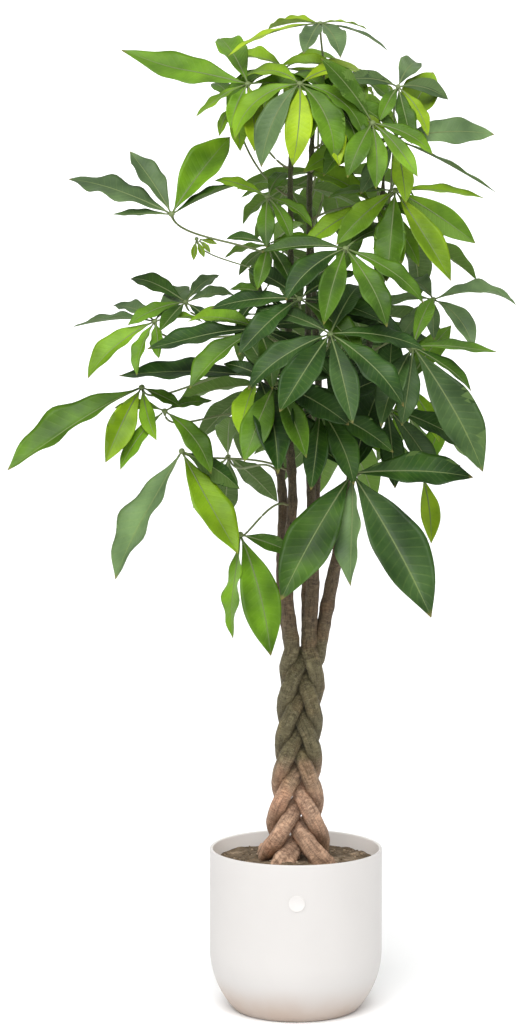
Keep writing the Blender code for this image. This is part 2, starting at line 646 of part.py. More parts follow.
def main():
    for old in list(bpy.data.objects):
        bpy.data.objects.remove(old)
    make_pot()
    make_soil()
    bark = make_material("bark", BARK_COLOUR, 0.85)
    for strand in range(STRANDS):
        make_trunk(strand, bark)
    greens = [make_material(f"leaf_green_{number + 1}", colour, 0.4)
              for number, colour in enumerate(LEAF_COLOURS)]
    for number, (leaf, slide, leaflets) in enumerate(arrange(LEAVES)):
        make_leaf(f"leaf_{number + 1:02d}", leaf, slide, leaflets, greens[number % len(greens)])


if __name__ == "__main__":
    main()
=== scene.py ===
"""Looks of a potted money tree: planter, soil, braided trunks and compound leaves.

Metres, +Z up. The origin is the centre of the planter's base, and the front is -Y.
"""
import math
import random
from collections import namedtuple

import bmesh
import bpy
from mathutils import Matrix, Vector, noise
from mathutils.bvhtree import BVHTree


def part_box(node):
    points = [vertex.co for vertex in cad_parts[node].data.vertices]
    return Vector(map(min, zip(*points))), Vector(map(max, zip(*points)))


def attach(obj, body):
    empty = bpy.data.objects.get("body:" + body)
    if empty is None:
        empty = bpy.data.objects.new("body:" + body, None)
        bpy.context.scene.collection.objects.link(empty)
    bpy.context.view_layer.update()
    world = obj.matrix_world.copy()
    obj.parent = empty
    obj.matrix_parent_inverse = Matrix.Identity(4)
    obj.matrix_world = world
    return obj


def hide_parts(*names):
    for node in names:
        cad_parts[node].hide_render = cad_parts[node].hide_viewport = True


bl_info = {
    "name": "Potted Money Tree",
    "version": (1, 0, 0),
    "blender": (4, 5, 0),
    "location": "3D View > Sidebar > Money Tree",
    "description": "Builds a braided money tree in its planter, piece by piece",
    "category": "Add Mesh",
}

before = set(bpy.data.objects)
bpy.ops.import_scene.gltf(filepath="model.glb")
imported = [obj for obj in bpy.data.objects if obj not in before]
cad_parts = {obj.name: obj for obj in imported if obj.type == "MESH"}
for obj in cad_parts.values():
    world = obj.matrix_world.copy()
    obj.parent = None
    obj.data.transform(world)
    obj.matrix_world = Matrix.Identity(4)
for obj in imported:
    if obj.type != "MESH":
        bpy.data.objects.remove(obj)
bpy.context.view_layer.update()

UP = Vector((0, 0, 1))
BACK = Vector((0, 1, 0))

# Planter and soil, as in the frame
POT_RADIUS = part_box("pot")[1].x
POT_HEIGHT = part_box("pot")[1].z
BELLY_HEIGHT = 0.078
BELLY_RADIUS = 0.112
SOIL_TOP = 0.1955

# Braid: each strand swings sideways once and front to back twice in a period
STRANDS = 5
BRAID_TOP = 0.475
BRAID_PERIOD = 0.245
BRAID_HALF_WIDTH = 0.0193
BRAID_FLARE = 0.020         # extra half width at the soil
BRAID_FLARE_HEIGHT = 0.065
BRAID_DEPTH_RATIO = 0.9
BRAID_LEAN = 0.010          # sideways lean of the braid at its top
ROOT_DEPTH = 0.045
ROOT_COLLAR = 0.012         # a root has its full girth this far above and below the soil's top
TRUNK_SIDES = 8
BRAID_STEP = 0.0175         # height between two rings of a strand
STEM_STEP = 0.040
STEM_TIP = 0.0012           # radius of a stem's very tip
LOOK = 0.004                # how far up and down a trunk's heading is read from

# Height and radius of every trunk, from the buried root up
TRUNK_TAPER = (
    (SOIL_TOP - ROOT_DEPTH, 0.0040),
    (SOIL_TOP - ROOT_COLLAR, 0.0105),
    (SOIL_TOP + ROOT_COLLAR, 0.0105),
    (0.250, 0.0093),
    (0.300, 0.0083),
    (0.350, 0.0076),
    (0.555, 0.0076),
    (0.600, 0.0068),
    (0.675, 0.0058),
    (0.900, 0.0043),
    (1.120, 0.0030),
    (1.240, 0.0022),
)

# Where each trunk runs once it has left the braid
STEM_ROUTES = (
    ((0.045, 0.000, 0.555), (0.067, -0.008, 0.675), (0.085, 0.002, 0.800),
     (0.103, 0.015, 0.950), (0.112, 0.020, 1.085)),
    ((0.021, -0.012, 0.555), (0.019, -0.010, 0.675), (0.014, 0.000, 0.800),
     (0.016, 0.008, 0.950), (0.018, 0.010, 1.100), (0.028, 0.014, 1.215)),
    ((-0.017, 0.030, 0.555), (-0.018, 0.045, 0.675), (-0.035, 0.065, 0.800),
     (-0.050, 0.080, 0.960)),
    ((-0.013, -0.020, 0.555), (-0.005, -0.024, 0.675), (-0.013, -0.012, 0.800),
     (-0.008, -0.004, 0.950), (-0.008, -0.006, 1.080), (-0.004, -0.016, 1.165)),
    ((0.016, 0.034, 0.555), (0.026, 0.062, 0.675), (0.030, 0.086, 0.800),
     (0.022, 0.104, 0.950), (0.016, 0.112, 1.090)),
)

BLADE_THICKNESS = 0.0016
BLADE_SLENDERNESS = 0.28    # full width over length
BLADE_RINGS = (0.08, 0.26, 0.60, 1.0)
BLADE_TIP = 0.06            # width at the tip over the full width
SHORTEST_REACH = 0.66       # length of a leaflet that points back over the leaf stalk
HUB_RADIUS = 0.0042
HUB_THICKNESS = 0.0036
HUB_SIDE = math.radians(32)  # widest half angle of a hub's side
STALK_RADIUS = 0.0017
STALK_RINGS = (0.08, 0.35, 0.68, 1.0)
STALK_CURVE = 0.36          # how strongly a leaf stalk bows, over its length
STALK_RISE = math.radians(30)
STALK_GAP = 0.0012          # between a leaf stalk's end and its trunk
CLEARANCE = 0.0006          # kept round every blade while the leaves are arranged
SMALL_BEND = 0.02

Leaf = namedtuple("Leaf", "trunk join hub face size droop leaflets")
Plan = namedtuple("Plan", "clock scale roll", defaults=(1.0, 0))

# One row a leaf: trunk number, height of its joint on the trunk, hub, the azimuth and
# elevation that its upper side faces, length of its longest leaflet, droop in degrees, and
# each leaflet's clock angle as it is seen from the front, 0 to the right and 90 up. Where more
# is given for a leaflet, it is how much longer or shorter than usual it is, and then how many
# degrees it is rolled about its own length.
LEAVES = (
    Leaf(2, 1.190, (0.030, 0.020, 1.278), (-90, 75), 0.125, 32,
         ((-6, 0.95, -10), (16, 0.8), (168, 0.8), (184, 1.25, 6), (228, 0.85), (326, 0.9))),
    Leaf(4, 1.130, (0.003, -0.060, 1.199), (-90, 50), 0.140, 62,
         (-4, (36, 1.15), (146, 0.9), 186, (222, 1.1), 262, 306)),
    Leaf(4, 1.095, (-0.062, -0.020, 1.200), (-90, 50), 0.150, 34,
         ((165, 1.12, -8), (198, 0.6, 20), (236, 0.6), (274, 0.95), (8, 0.8), 112)),
    Leaf(2, 1.090, (0.041, -0.050, 1.181), (-75, 50), 0.120, 50,
         (272, 312, 350, 50, 130, 215)),
    Leaf(1, 1.060, (0.129, 0.000, 1.197), (-65, 45), 0.090, 35,
         ((66, 1.1), (10, 1, 25), (165, 1, -20), 222, (262, 1.25), (318, 1.1))),
    Leaf(1, 1.030, (0.125, -0.020, 1.131), (-80, 40), 0.155, 16,
         ((12, 1, 8), (-22, 1.15, -48), (282, 0.8), (252, 0.8), 205, 150, 60)),
    Leaf(2, 1.030, (0.124, -0.050, 1.066), (-80, 30), 0.145, 18,
         ((4, 0.8, -40), (-28, 0.85, 35), (-57, 1.02), (-89, 1.05, 20), 213, (176, 0.8, 40))),
    Leaf(1, 0.860, (0.178, 0.050, 0.925), (-100, 60), 0.125, 42,
         ((18, 1, -5), (-24, 0.9), (262, 0.7), 120, 170, 215)),
    Leaf(1, 0.810, (0.145, -0.100, 0.871), (-75, 30), 0.165, 20,
         ((5, 0.74, -38), (-27, 0.62, -30), (-54, 1.25, 12), (262, 0.75), (236, 0.9, 25), (75, 0.6), 140)),
    Leaf(1, 0.660, (0.068, -0.140, 0.716), (-88, 35), 0.190, 14,
         ((5, 0.95), (-56, 1.28), (-81, 0.88, 42), (234, 1.15), 125, 75)),
    Leaf(4, 0.665, (-0.072, -0.060, 0.630), (-100, 30), 0.155, 14,
         ((-66, 1.22), (-97, 0.9, 48), (-12, 0.6))),
    Leaf(4, 0.710, (-0.147, -0.030, 0.734), (-110, 25), 0.180, 12,
         ((239, 1.12, 24), (-61, 1.15, -34), (-20, 0.75, 30))),
    Leaf(4, 0.830, (-0.199, 0.000, 0.814), (-100, 40), 0.195, 12,
         ((204, 1.04, 14), (238, 0.62, -30), (264, 0.5, 30), (-20, 0.42))),
    Leaf(3, 0.770, (-0.169, -0.020, 0.785), (-90, 50), 0.105, 30,
         ((207, 0.9, 10), (-31, 1.35), (160, 0.7), (25, 0.9))),
    Leaf(4, 0.800, (-0.049, -0.080, 0.832), (-95, 60), 0.185, 18,
         ((172, 1.15, 3), (240, 0.62, 20), 285, -30, 25, 100)),
    Leaf(4, 0.870, (-0.182, 0.000, 0.899), (-100, 55), 0.110, 30,
         ((171, 1, 26), (150, 0.8), (206, 1.08), (238, 0.9, 25), (285, 0.7, 30), (46, 1.2, 20),
          (14, 0.8, -20))),
    Leaf(4, 0.850, (-0.049, -0.080, 0.893), (-95, 55), 0.140, 26,
         ((158, 0.9), (182, 1.1, 5), (206, 0.95, 12), (-60, 0.8), -15, 25)),
    Leaf(4, 0.975, (-0.159, -0.030, 1.036), (-95, 35), 0.145, 16,
         ((153, 1.06, 25), (127, 0.85, 20), (58, 1.22), (31, 0.9, -45), (177, 0.5, 30))),
    Leaf(4, 0.950, (-0.128, 0.000, 1.004), (-90, 35), 0.034, 20,
         (258, 285, 312, 340)),
    Leaf(4, 1.030, (-0.037, -0.040, 1.058), (-85, 50), 0.090, 26,
         (262, -55, -22, 152, 60)),
    Leaf(4, 0.960, (-0.037, -0.060, 0.999), (-90, 45), 0.075, 26,
         ((163, 0.8), -50, -100, 20)),
    Leaf(4, 0.905, (-0.040, -0.040, 0.932), (-90, 45), 0.055, 50,
         (200, 250, 150, -30)),
    Leaf(2, 0.850, (0.040, -0.150, 0.890), (-85, 50), 0.145, 28,
         (5, -30, -62, -110, 198, 150, 60)),
    Leaf(2, 0.900, (0.003, -0.100, 0.931), (-90, 50), 0.130, 30,
         (175, 215, 140, -40, 0, 40)),
    Leaf(2, 0.950, (0.060, -0.100, 0.994), (-80, 50), 0.130, 30,
         (170, 200, 235, -50, -15, 40)),
    Leaf(4, 0.770, (-0.028, -0.130, 0.827), (-92, 30), 0.140, 18,
         (-70, 248, -30, (150, 0.6), 112, 30)),
    Leaf(2, 0.755, (0.028, -0.130, 0.796), (-88, 35), 0.120, 20,
         (-95, -60, -20, 30, 200, (150, 0.85))),
    Leaf(1, 0.700, (0.166, 0.060, 0.694), (-80, 40), 0.110, 16,
         ((-76, 1.08), (20, 0.5), 70, 140)),
    Leaf(1, 0.760, (0.147, 0.070, 0.813), (-85, 35), 0.110, 16,
         (-53, -108, 150, 60)),
    Leaf(5, 1.060, (0.030, 0.150, 1.185), (90, 65), 0.135, 45,
         (178, 198, 232, 308, 342, 2)),
    Leaf(5, 1.010, (0.040, 0.225, 1.090), (90, 60), 0.145, 35,
         (178, 200, 237, 303, 340, 2)),
    Leaf(5, 0.940, (-0.030, 0.235, 0.990), (90, 58), 0.145, 32,
         ((178, 0.5), (202, 0.5), (238, 0.65), 302, 340, 60)),
    Leaf(3, 0.900, (-0.050, 0.185, 0.900), (105, 55), 0.140, 30,
         ((178, 0.8), (236, 0.7), 300, 342)),
    Leaf(5, 0.850, (0.075, 0.235, 0.900), (80, 55), 0.150, 32,
         (178, 203, 239, 301, 338, 3)),
    Leaf(3, 0.790, (-0.040, 0.245, 0.800), (95, 50), 0.150, 28,
         (177, 205, 242, 298, 336, 90)),
    Leaf(5, 0.730, (0.060, 0.215, 0.745), (85, 48), 0.150, 26,
         (180, 207, 243, 297, 335, 80)),
    Leaf(3, 0.700, (-0.090, 0.160, 0.710), (115, 45), 0.140, 24,
         ((228, 0.7), 268, 312, 90)),
    Leaf(1, 0.790, (0.150, 0.150, 0.770), (55, 50), 0.130, 26,
         (196, 240, 298, 334, 15)),
    Leaf(1, 0.930, (0.145, 0.140, 1.010), (60, 55), 0.130, 30,
         ((190, 0.5), 236, 300, 338, 12)),
    Leaf(3, 0.930, (-0.010, 0.150, 1.070), (110, 55), 0.125, 32,
         ((176, 0.7), (204, 0.8), 242, 304, 345)),
    Leaf(2, 1.150, (-0.015, 0.035, 1.222), (-90, 55), 0.115, 48,
         ((148, 0.9), 190, 232, 300, 346, (35, 1.1))),
    Leaf(2, 1.120, (0.066, 0.005, 1.214), (-80, 52), 0.120, 44,
         ((160, 0.9), 215, 262, 308, (345, 1.1), (25, 1.1))),
    Leaf(1, 1.045, (0.094, -0.065, 1.150), (-88, 42), 0.115, 34,
         ((198, 0.9), 235, 272, 308, (345, 0.9), 140)),
    Leaf(4, 1.060, (-0.079, 0.020, 1.176), (-95, 50), 0.100, 36,
         ((228, 0.65), 270, 312, 350, (120, 0.8))),
    Leaf(2, 0.820, (0.070, 0.070, 0.860), (-70, 45), 0.135, 26,
         (200, 242, 292, 330, 15, 130)),
    Leaf(1, 0.720, (0.115, -0.045, 0.790), (-80, 38), 0.140, 20,
         (186, 228, 268, 308, 345, 110)),
    Leaf(4, 0.890, (-0.143, 0.030, 0.922), (-95, 48), 0.090, 24,
         (54, 22, 198, 240, (-42, 0.9), 150)),
    Leaf(1, 0.985, (0.096, -0.030, 1.049), (-88, 42), 0.125, 26,
         (200, 238, 278, 312, 346, 150)),
)

# Turns in the leaf's plane and out of it, in degrees, that a leaflet may take to find room
SWINGS = (0, 7, -7, 14, -14, 21, -21, 28, -28)
LIFTS = (0, 8, -8, 16, -16, 24, -24, 32, -32, 40, -40)
SHRINKS = (1.0, 0.85, 0.70, 0.55)

# How far, in metres, a leaf's joint may slide along its trunk to find room for its stalk
SLIDES = (0, 0.006, -0.006, 0.012, -0.012, 0.018, -0.018, 0.024, -0.024, 0.03, -0.03)


def heights(low, high, count):
    """Evenly spaced heights from low to high, both included."""
    return [low + (high - low) * step / count for step in range(count + 1)]


def braid_point(strand, height):
    """Middle of a strand while it is in the braid."""
    rise = height - SOIL_TOP
    width = BRAID_HALF_WIDTH + BRAID_FLARE * math.exp(-max(rise, 0) / BRAID_FLARE_HEIGHT)
    turn = 2 * math.pi * ((height - BRAID_TOP) / BRAID_PERIOD + 0.25 + strand / STRANDS)
    lean = BRAID_LEAN * (max(rise, 0) / (BRAID_TOP - SOIL_TOP)) ** 2
    across = lean + width * math.sin(turn)
    return Vector((across, width * BRAID_DEPTH_RATIO * math.sin(2 * turn), height))


def hermite(points, height):
    """Read a smooth curve through points of rising height at one height."""
    last = len(points) - 2
    span = max(index for index in range(last + 1) if index == 0 or points[index].z <= height)
    low, high = points[span], points[span + 1]

    def slope(index):
        before, after = points[max(index - 1, 0)], points[min(index + 1, last + 1)]
        return (after - before) / (after.z - before.z)

    rise = high.z - low.z
    part = (height - low.z) / rise
    square, cube = part ** 2, part ** 3
    point = (low * (2 * cube - 3 * square + 1) + high * (3 * square - 2 * cube)
             + slope(span) * rise * (cube - 2 * square + part)
             + slope(span + 1) * rise * (cube - square))
    point.z = height
    return point


def trunk_point(strand, height):
    """Middle of a trunk at a height: root, braid, then the free stem."""
    if height <= SOIL_TOP:
        point = braid_point(strand, SOIL_TOP)
        point.z = height
        return point
    if height <= BRAID_TOP:
        return braid_point(strand, height)
    start = [braid_point(strand, BRAID_TOP - BRAID_STEP), braid_point(strand, BRAID_TOP)]
    return hermite(start + [Vector(point) for point in STEM_ROUTES[strand]], height)


def trunk_top(strand):
    """Height of a trunk's tip."""
    return STEM_ROUTES[strand][-1][2]


def read_table(table, height):
    """A value between the rows of a table of (height, value)."""
    low = max(index for index, row in enumerate(table[:-1]) if index == 0 or row[0] <= height)
    (z0, v0), (z1, v1) = table[low], table[low + 1]
    return v0 + (v1 - v0) * (height - z0) / (z1 - z0)


def trunk_radius(strand, height):
    """Radius of a trunk at a height; a stem narrows quickly just below its tip."""
    if height > trunk_top(strand) - 1e-6:
        return STEM_TIP
    return read_table(TRUNK_TAPER, height)


def trunk_heights(strand):
    """Heights of a trunk's rings, closer together in the braid."""
    braid = round((BRAID_TOP - SOIL_TOP) / BRAID_STEP)
    stem = round((trunk_top(strand) - BRAID_TOP) / STEM_STEP)
    root = [SOIL_TOP - ROOT_DEPTH, SOIL_TOP - ROOT_COLLAR]
    return root + heights(SOIL_TOP, BRAID_TOP, braid) + heights(BRAID_TOP, trunk_top(strand), stem)[1:]


def trunk_ring(strand, height, extra=0.0):
    """Corners of a trunk's section, square to the trunk."""
    ahead, behind = trunk_point(strand, height + LOOK), trunk_point(strand, height - LOOK)
    heading = (ahead - behind).normalized()
    side = BACK.cross(heading).normalized()
    back = heading.cross(side)
    radius = trunk_radius(strand, height) + extra
    middle = trunk_point(strand, height)
    turns = [2 * math.pi * corner / TRUNK_SIDES for corner in range(TRUNK_SIDES)]
    return [middle + (side * math.cos(turn) + back * math.sin(turn)) * radius for turn in turns]


def direction(azimuth, elevation):
    """Unit vector for an azimuth and an elevation in degrees."""
    turn, rise = math.radians(azimuth), math.radians(elevation)
    return Vector((math.cos(turn) * math.cos(rise), math.sin(turn) * math.cos(rise), math.sin(rise)))


def clock_heading(face, clock):
    """The direction in the plane square to `face` that is seen at a clock angle from the front."""
    turn = math.radians(clock)
    heading = Vector((math.cos(turn), 0, math.sin(turn)))
    heading.y = -(face.x * heading.x + face.z * heading.z) / face.y
    return heading.normalized()


def outline(along):
    """A blade's width over its full width, from its base (0) to its tip (1)."""
    return max(math.sin(math.pi * along ** 1.25), BLADE_TIP)


class Leaflet:
    """A blade that leaves the hub in the leaf's plane and bends down along an arc."""

    def __init__(self, hub, face, heading, length, droop):
        self.heading = heading
        self.face = face
        self.across = face.cross(heading)
        self.axis = UP.cross(heading).normalized()
        self.down = self.axis.cross(heading)
        self.start = hub + heading * HUB_RADIUS
        self.length = length
        level = math.hypot(heading.x, heading.y)
        self.bend = max(math.radians(droop) * level, SMALL_BEND)

    def frame(self, along):
        """Middle of the blade and its sideways and upward directions, part way along."""
        angle = self.bend * along
        turn = Matrix.Rotation(angle, 3, self.axis)
        path = self.heading * math.sin(angle) + self.down * (1 - math.cos(angle))
        return self.start + path * (self.length / self.bend), turn @ self.across, turn @ self.face

    def ring(self, along, margin=0.0):
        """The four corners of the blade's section."""
        middle, across, face = self.frame(along)
        side = across * (self.length * BLADE_SLENDERNESS / 2 * outline(along) + margin)
        rise = face * (BLADE_THICKNESS / 2 + margin)
        return [middle - side - rise, middle + side - rise, middle + side + rise, middle - side + rise]

    def rings(self, margin=0.0):
        """All sections outside the hub."""
        return [self.ring(along, margin) for along in BLADE_RINGS]


def leaflet_plan(entry):
    """A leaflet's clock angle, relative length and roll from its entry in a leaf's row."""
    return Plan(*entry) if isinstance(entry, tuple) else Plan(entry)


def turned_leaflet(leaf, entry, swing, lift, shrink):
    """The leaflet of an entry, swung in the leaf's plane, lifted out of it and shrunk."""
    plan = leaflet_plan(entry)
    hub, face = Vector(leaf.hub), direction(*leaf.face)
    flat = Matrix.Rotation(math.radians(swing), 3, face) @ clock_heading(face, plan.clock)
    raised = math.radians(lift)
    heading = flat * math.cos(raised) + face * math.sin(raised)
    upward = face * math.cos(raised) - flat * math.sin(raised)
    rolled = Matrix.Rotation(math.radians(plan.roll), 3, heading) @ upward
    outward = (hub - trunk_point(leaf.trunk - 1, leaf.join)).normalized()
    reach = SHORTEST_REACH + (1 - SHORTEST_REACH) * (1 + flat.dot(outward)) / 2
    return Leaflet(hub, rolled, heading, leaf.size * reach * plan.scale * shrink, leaf.droop)


def hub_arms(leaf, headings):
    """Directions from the hub's middle to its corners."""
    face = direction(*leaf.face)
    side = headings[0]
    other = face.cross(side)
    angles = [math.atan2(heading.dot(other), heading.dot(side)) % (2 * math.pi) for heading in headings]
    order = sorted(range(len(angles)), key=angles.__getitem__)
    corners = []
    for place, index in enumerate(order):
        before, after = order[place - 1], order[(place + 1) % len(order)]
        gap_before = (angles[index] - angles[before]) % (2 * math.pi)
        gap_after = (angles[after] - angles[index]) % (2 * math.pi)
        if gap_before > 2 * HUB_SIDE or not corners:
            corners.append(angles[index] - min(gap_before / 2, HUB_SIDE))
        if place < len(order) - 1 or gap_after > 2 * HUB_SIDE:
            corners.append(angles[index] + min(gap_after / 2, HUB_SIDE))
    return [side * math.cos(angle) + other * math.sin(angle) for angle in corners]


def stalk_path(leaf, slide, part):
    """Point and heading on the leaf stalk, from the hub (0) to its trunk (1)."""
    height = leaf.join + slide
    hub, face = Vector(leaf.hub), direction(*leaf.face)
    middle = trunk_point(leaf.trunk - 1, height)
    level = Vector((hub.x - middle.x, hub.y - middle.y, 0)).normalized()
    outward = level * math.cos(STALK_RISE) + UP * math.sin(STALK_RISE)
    end = middle + level * (trunk_radius(leaf.trunk - 1, height) + STALK_GAP + STALK_RADIUS)
    start = hub - face * HUB_THICKNESS / 2
    bow = (end - start).length * STALK_CURVE
    leave, arrive = start - face * bow, end + outward * bow
    rest = 1 - part
    point = (start * rest ** 3 + leave * 3 * rest ** 2 * part
             + arrive * 3 * rest * part ** 2 + end * part ** 3)
    heading = ((leave - start) * rest ** 2 + (arrive - leave) * 2 * rest * part
               + (end - arrive) * part ** 2).normalized()
    return point, heading


def stalk_rings(leaf, slide, arms, margin=0.0):
    """Sections of the leaf stalk, from the hub's underside to the trunk."""
    heading = -direction(*leaf.face)
    rings = []
    for part in STALK_RINGS:
        point, onward = stalk_path(leaf, slide, part)
        turn = heading.rotation_difference(onward)
        arms = [turn @ arm for arm in arms]
        heading = onward
        rings.append([point + arm * (STALK_RADIUS + margin) for arm in arms])
    return rings


def hub_ring(leaf, arms, side, margin=0.0):
    """The hub's corners on its upper (1) or lower (-1) side."""
    middle = Vector(leaf.hub) + direction(*leaf.face) * side * (HUB_THICKNESS / 2 + margin)
    return [middle + arm * (HUB_RADIUS + margin) for arm in arms]


def shell(rings):
    """A search tree over the closed tube through rings of corners."""
    count = len(rings[0])
    points = [point for ring in rings for point in ring]
    faces = [list(range(count)), [len(points) - 1 - corner for corner in range(count)]]
    for low in range(0, len(points) - count, count):
        for corner in range(count):
            after = (corner + 1) % count
            faces.append([low + corner, low + after, low + count + after, low + count + corner])
    return BVHTree.FromPolygons(points, faces), bounds(points)


def bounds(points):
    """Lowest and highest corner of some points."""
    return ([min(point[axis] for point in points) for axis in range(3)],
            [max(point[axis] for point in points) for axis in range(3)])


def touches(one, others):
    """Whether a shell meets any other."""
    tree, (low, high) = one
    for other_tree, (other_low, other_high) in others:
        apart = any(low[axis] > other_high[axis] or other_low[axis] > high[axis] for axis in range(3))
        if not apart and tree.overlap(other_tree):
            return True
    return False


def settle_stalk(leaf, arms, taken):
    """How far the leaf's joint slides along its trunk for the stalk to be clear of the rest."""
    hub = [hub_ring(leaf, arms, -1, CLEARANCE)]
    for slide in SLIDES:
        rings = stalk_rings(leaf, slide, arms, CLEARANCE)
        if not touches(shell(hub + rings), taken):
            return slide
    raise ValueError(f"no room for the stalk of the leaf at {leaf.hub}")


def settle_leaflet(leaf, entry, taken, own):
    """The leaflet nearest to its planned place that is clear of the rest, or None."""
    moves = sorted(((swing, lift) for swing in SWINGS for lift in LIFTS),
                   key=lambda move: abs(move[0]) + abs(move[1]))
    for shrink in SHRINKS:
        for swing, lift in moves:
            leaflet = turned_leaflet(leaf, entry, swing, lift, shrink)
            outer = leaflet.rings(CLEARANCE)
            if touches(shell(outer), own):
                continue
            if not touches(shell([leaflet.ring(0, CLEARANCE), *outer]), taken):
                return leaflet
    return None


def arrange(leaves):
    """Give every leaf its leaflets and its stalk, all clear of each other and of the trunks."""
    trunks = [shell([trunk_ring(strand, height, CLEARANCE) for height in trunk_heights(strand)])
              for strand in range(STRANDS)]
    stalks = []
    arranged = []
    for leaf in leaves:
        face = direction(*leaf.face)
        planned = [clock_heading(face, leaflet_plan(entry).clock) for entry in leaf.leaflets]
        arms = hub_arms(leaf, planned)
        slide = settle_stalk(leaf, arms, trunks + stalks)
        rings = [hub_ring(leaf, arms, 1, CLEARANCE), hub_ring(leaf, arms, -1, CLEARANCE),
                 *stalk_rings(leaf, slide, arms, CLEARANCE)]
        stalks.append(shell(rings))
        arranged.append((leaf, slide, shell(rings[2:])))
    blades = []
    finished = []
    for place, (leaf, slide, stalk) in enumerate(arranged):
        others = trunks + stalks[:place] + stalks[place + 1:] + blades
        own = [stalk]
        leaflets = []
        for entry in leaf.leaflets:
            leaflet = settle_leaflet(leaf, entry, others, own)
            if leaflet:
                leaflets.append(leaflet)
                own.append(shell(leaflet.rings(CLEARANCE)))
        blades += [shell([leaflet.ring(0, CLEARANCE), *leaflet.rings(CLEARANCE)]) for leaflet in leaflets]
        finished.append((leaf, slide, leaflets))
    return finished


# ---------------------------------------------------------------- settings

COLOUR = {"min": 0, "max": 1, "subtype": "COLOR"}


class PotSettings(bpy.types.PropertyGroup):
    wall: bpy.props.FloatProperty(
        name="Wall", description="Thickness of the planter's wall", default=0.004,
        min=0.002, max=0.01, unit="LENGTH")
    floor: bpy.props.FloatProperty(
        name="Floor", description="Thickness of the planter's bottom", default=0.007,
        min=0.002, max=0.02, unit="LENGTH")
    button: bpy.props.FloatProperty(
        name="Button", description="Diameter of the plain round button on the front", default=0.021,
        min=0.005, max=0.04, unit="LENGTH")
    colour: bpy.props.FloatVectorProperty(
        name="Colour", description="Main colour of the planter", default=(0.552, 0.533, 0.518), **COLOUR)
    # The foot colour is a painted reflection: the warm glow of a floor, painted on the rounded bottom
    painted_floor_reflection_colour: bpy.props.FloatVectorProperty(
        name="Foot colour", description="Warmer colour of the rounded bottom",
        default=(0.43, 0.350, 0.295), **COLOUR)


class SoilSettings(bpy.types.PropertyGroup):
    roughness: bpy.props.FloatProperty(
        name="Unevenness", description="Height of the soil's lumps", default=0.0030,
        min=0, max=0.01, unit="LENGTH")
    crumbs: bpy.props.IntProperty(
        name="Crumbs", description="Number of loose crumbs on the soil", default=420, min=0, max=1000)
    colour: bpy.props.FloatVectorProperty(
        name="Colour", description="Colour of the damp soil", default=(0.185, 0.135, 0.085), **COLOUR)
    fibre_colour: bpy.props.FloatVectorProperty(
        name="Fibre colour", description="Colour of dry bark and fibre in the soil",
        default=(0.50, 0.38, 0.26), **COLOUR)


class TrunkSettings(bpy.types.PropertyGroup):
    girth: bpy.props.FloatProperty(
        name="Girth", description="Thickness of the trunks over their usual thickness", default=1.0,
        min=0.8, max=1.1, subtype="FACTOR")
    lumps: bpy.props.FloatProperty(
        name="Lumps", description="Unevenness of the trunks over their radius", default=0.10,
        min=0, max=0.3, subtype="FACTOR")
    root_colour: bpy.props.FloatVectorProperty(
        name="Root colour", description="Bark near the soil", default=(0.48, 0.315, 0.215), **COLOUR)
    braid_colour: bpy.props.FloatVectorProperty(
        name="Braid colour", description="Bark of the braid", default=(0.150, 0.132, 0.072), **COLOUR)
    stem_colour: bpy.props.FloatVectorProperty(
        name="Stem colour", description="Bark above the braid", default=(0.142, 0.104, 0.064), **COLOUR)
    shoot_colour: bpy.props.FloatVectorProperty(
        name="Shoot colour", description="Young stems near the top", default=(0.070, 0.078, 0.030), **COLOUR)


class LeafSettings(bpy.types.PropertyGroup):
    thickness: bpy.props.FloatProperty(
        name="Blade thickness", description="Thickness of a leaflet's blade", default=0.0006,
        min=0.0002, max=0.0015, unit="LENGTH")
    fold: bpy.props.FloatProperty(
        name="Fold", description="How far a blade's sides rise from its midrib, over its half width",
        default=0.34, min=0, max=0.6, subtype="FACTOR")
    wave: bpy.props.FloatProperty(
        name="Wave", description="Height of the waves in a blade's edge, over its half width",
        default=0.12, min=0, max=0.4, subtype="FACTOR")
    # Dark green is painted shade: the colour of leaves in the shade inside the crown
    painted_shade_green: bpy.props.FloatVectorProperty(
        name="Dark green", description="Old leaves inside the crown", default=(0.014, 0.046, 0.005), **COLOUR)
    green: bpy.props.FloatVectorProperty(
        name="Green", description="Most leaves", default=(0.105, 0.225, 0.010), **COLOUR)
    # Bright green is painted light: the yellow-green of light shining through backlit leaves
    bright: bpy.props.FloatVectorProperty(
        name="Bright green", description="Young yellowish leaves", default=(0.235, 0.355, 0.010), **COLOUR)
    # Grey green is a painted reflection: the pale bluish sheen of glossy leaves facing the light
    painted_sheen_green: bpy.props.FloatVectorProperty(
        name="Grey green", description="Leaves with a dull bloom", default=(0.122, 0.205, 0.090), **COLOUR)


class StageSettings(bpy.types.PropertyGroup):
    floor_colour: bpy.props.FloatVectorProperty(
        name="Floor colour", description="Colour of the plain floor", default=(0.94, 0.94, 0.94), **COLOUR)
    daylight: bpy.props.FloatProperty(
        name="Daylight", description="Strength of the even light from all round", default=0.62,
        min=0, max=3)
    sun: bpy.props.FloatProperty(
        name="Key light", description="Strength of the soft light from above the front", default=3.3,
        min=0, max=10)
    lens: bpy.props.FloatProperty(
        name="Lens", description="Focal length of the camera in millimetres", default=109.5,
        min=20, max=300, subtype="DISTANCE_CAMERA")


class MoneyTreeSettings(bpy.types.PropertyGroup):
    pot: bpy.props.PointerProperty(type=PotSettings, name="Planter", description="The planter")
    soil: bpy.props.PointerProperty(type=SoilSettings, name="Soil", description="The soil")
    trunks: bpy.props.PointerProperty(type=TrunkSettings, name="Trunks", description="The trunks")
    leaves: bpy.props.PointerProperty(type=LeafSettings, name="Leaves", description="The leaves")
    stage: bpy.props.PointerProperty(type=StageSettings, name="Stage", description="Floor and light")


# ---------------------------------------------------------------- materials

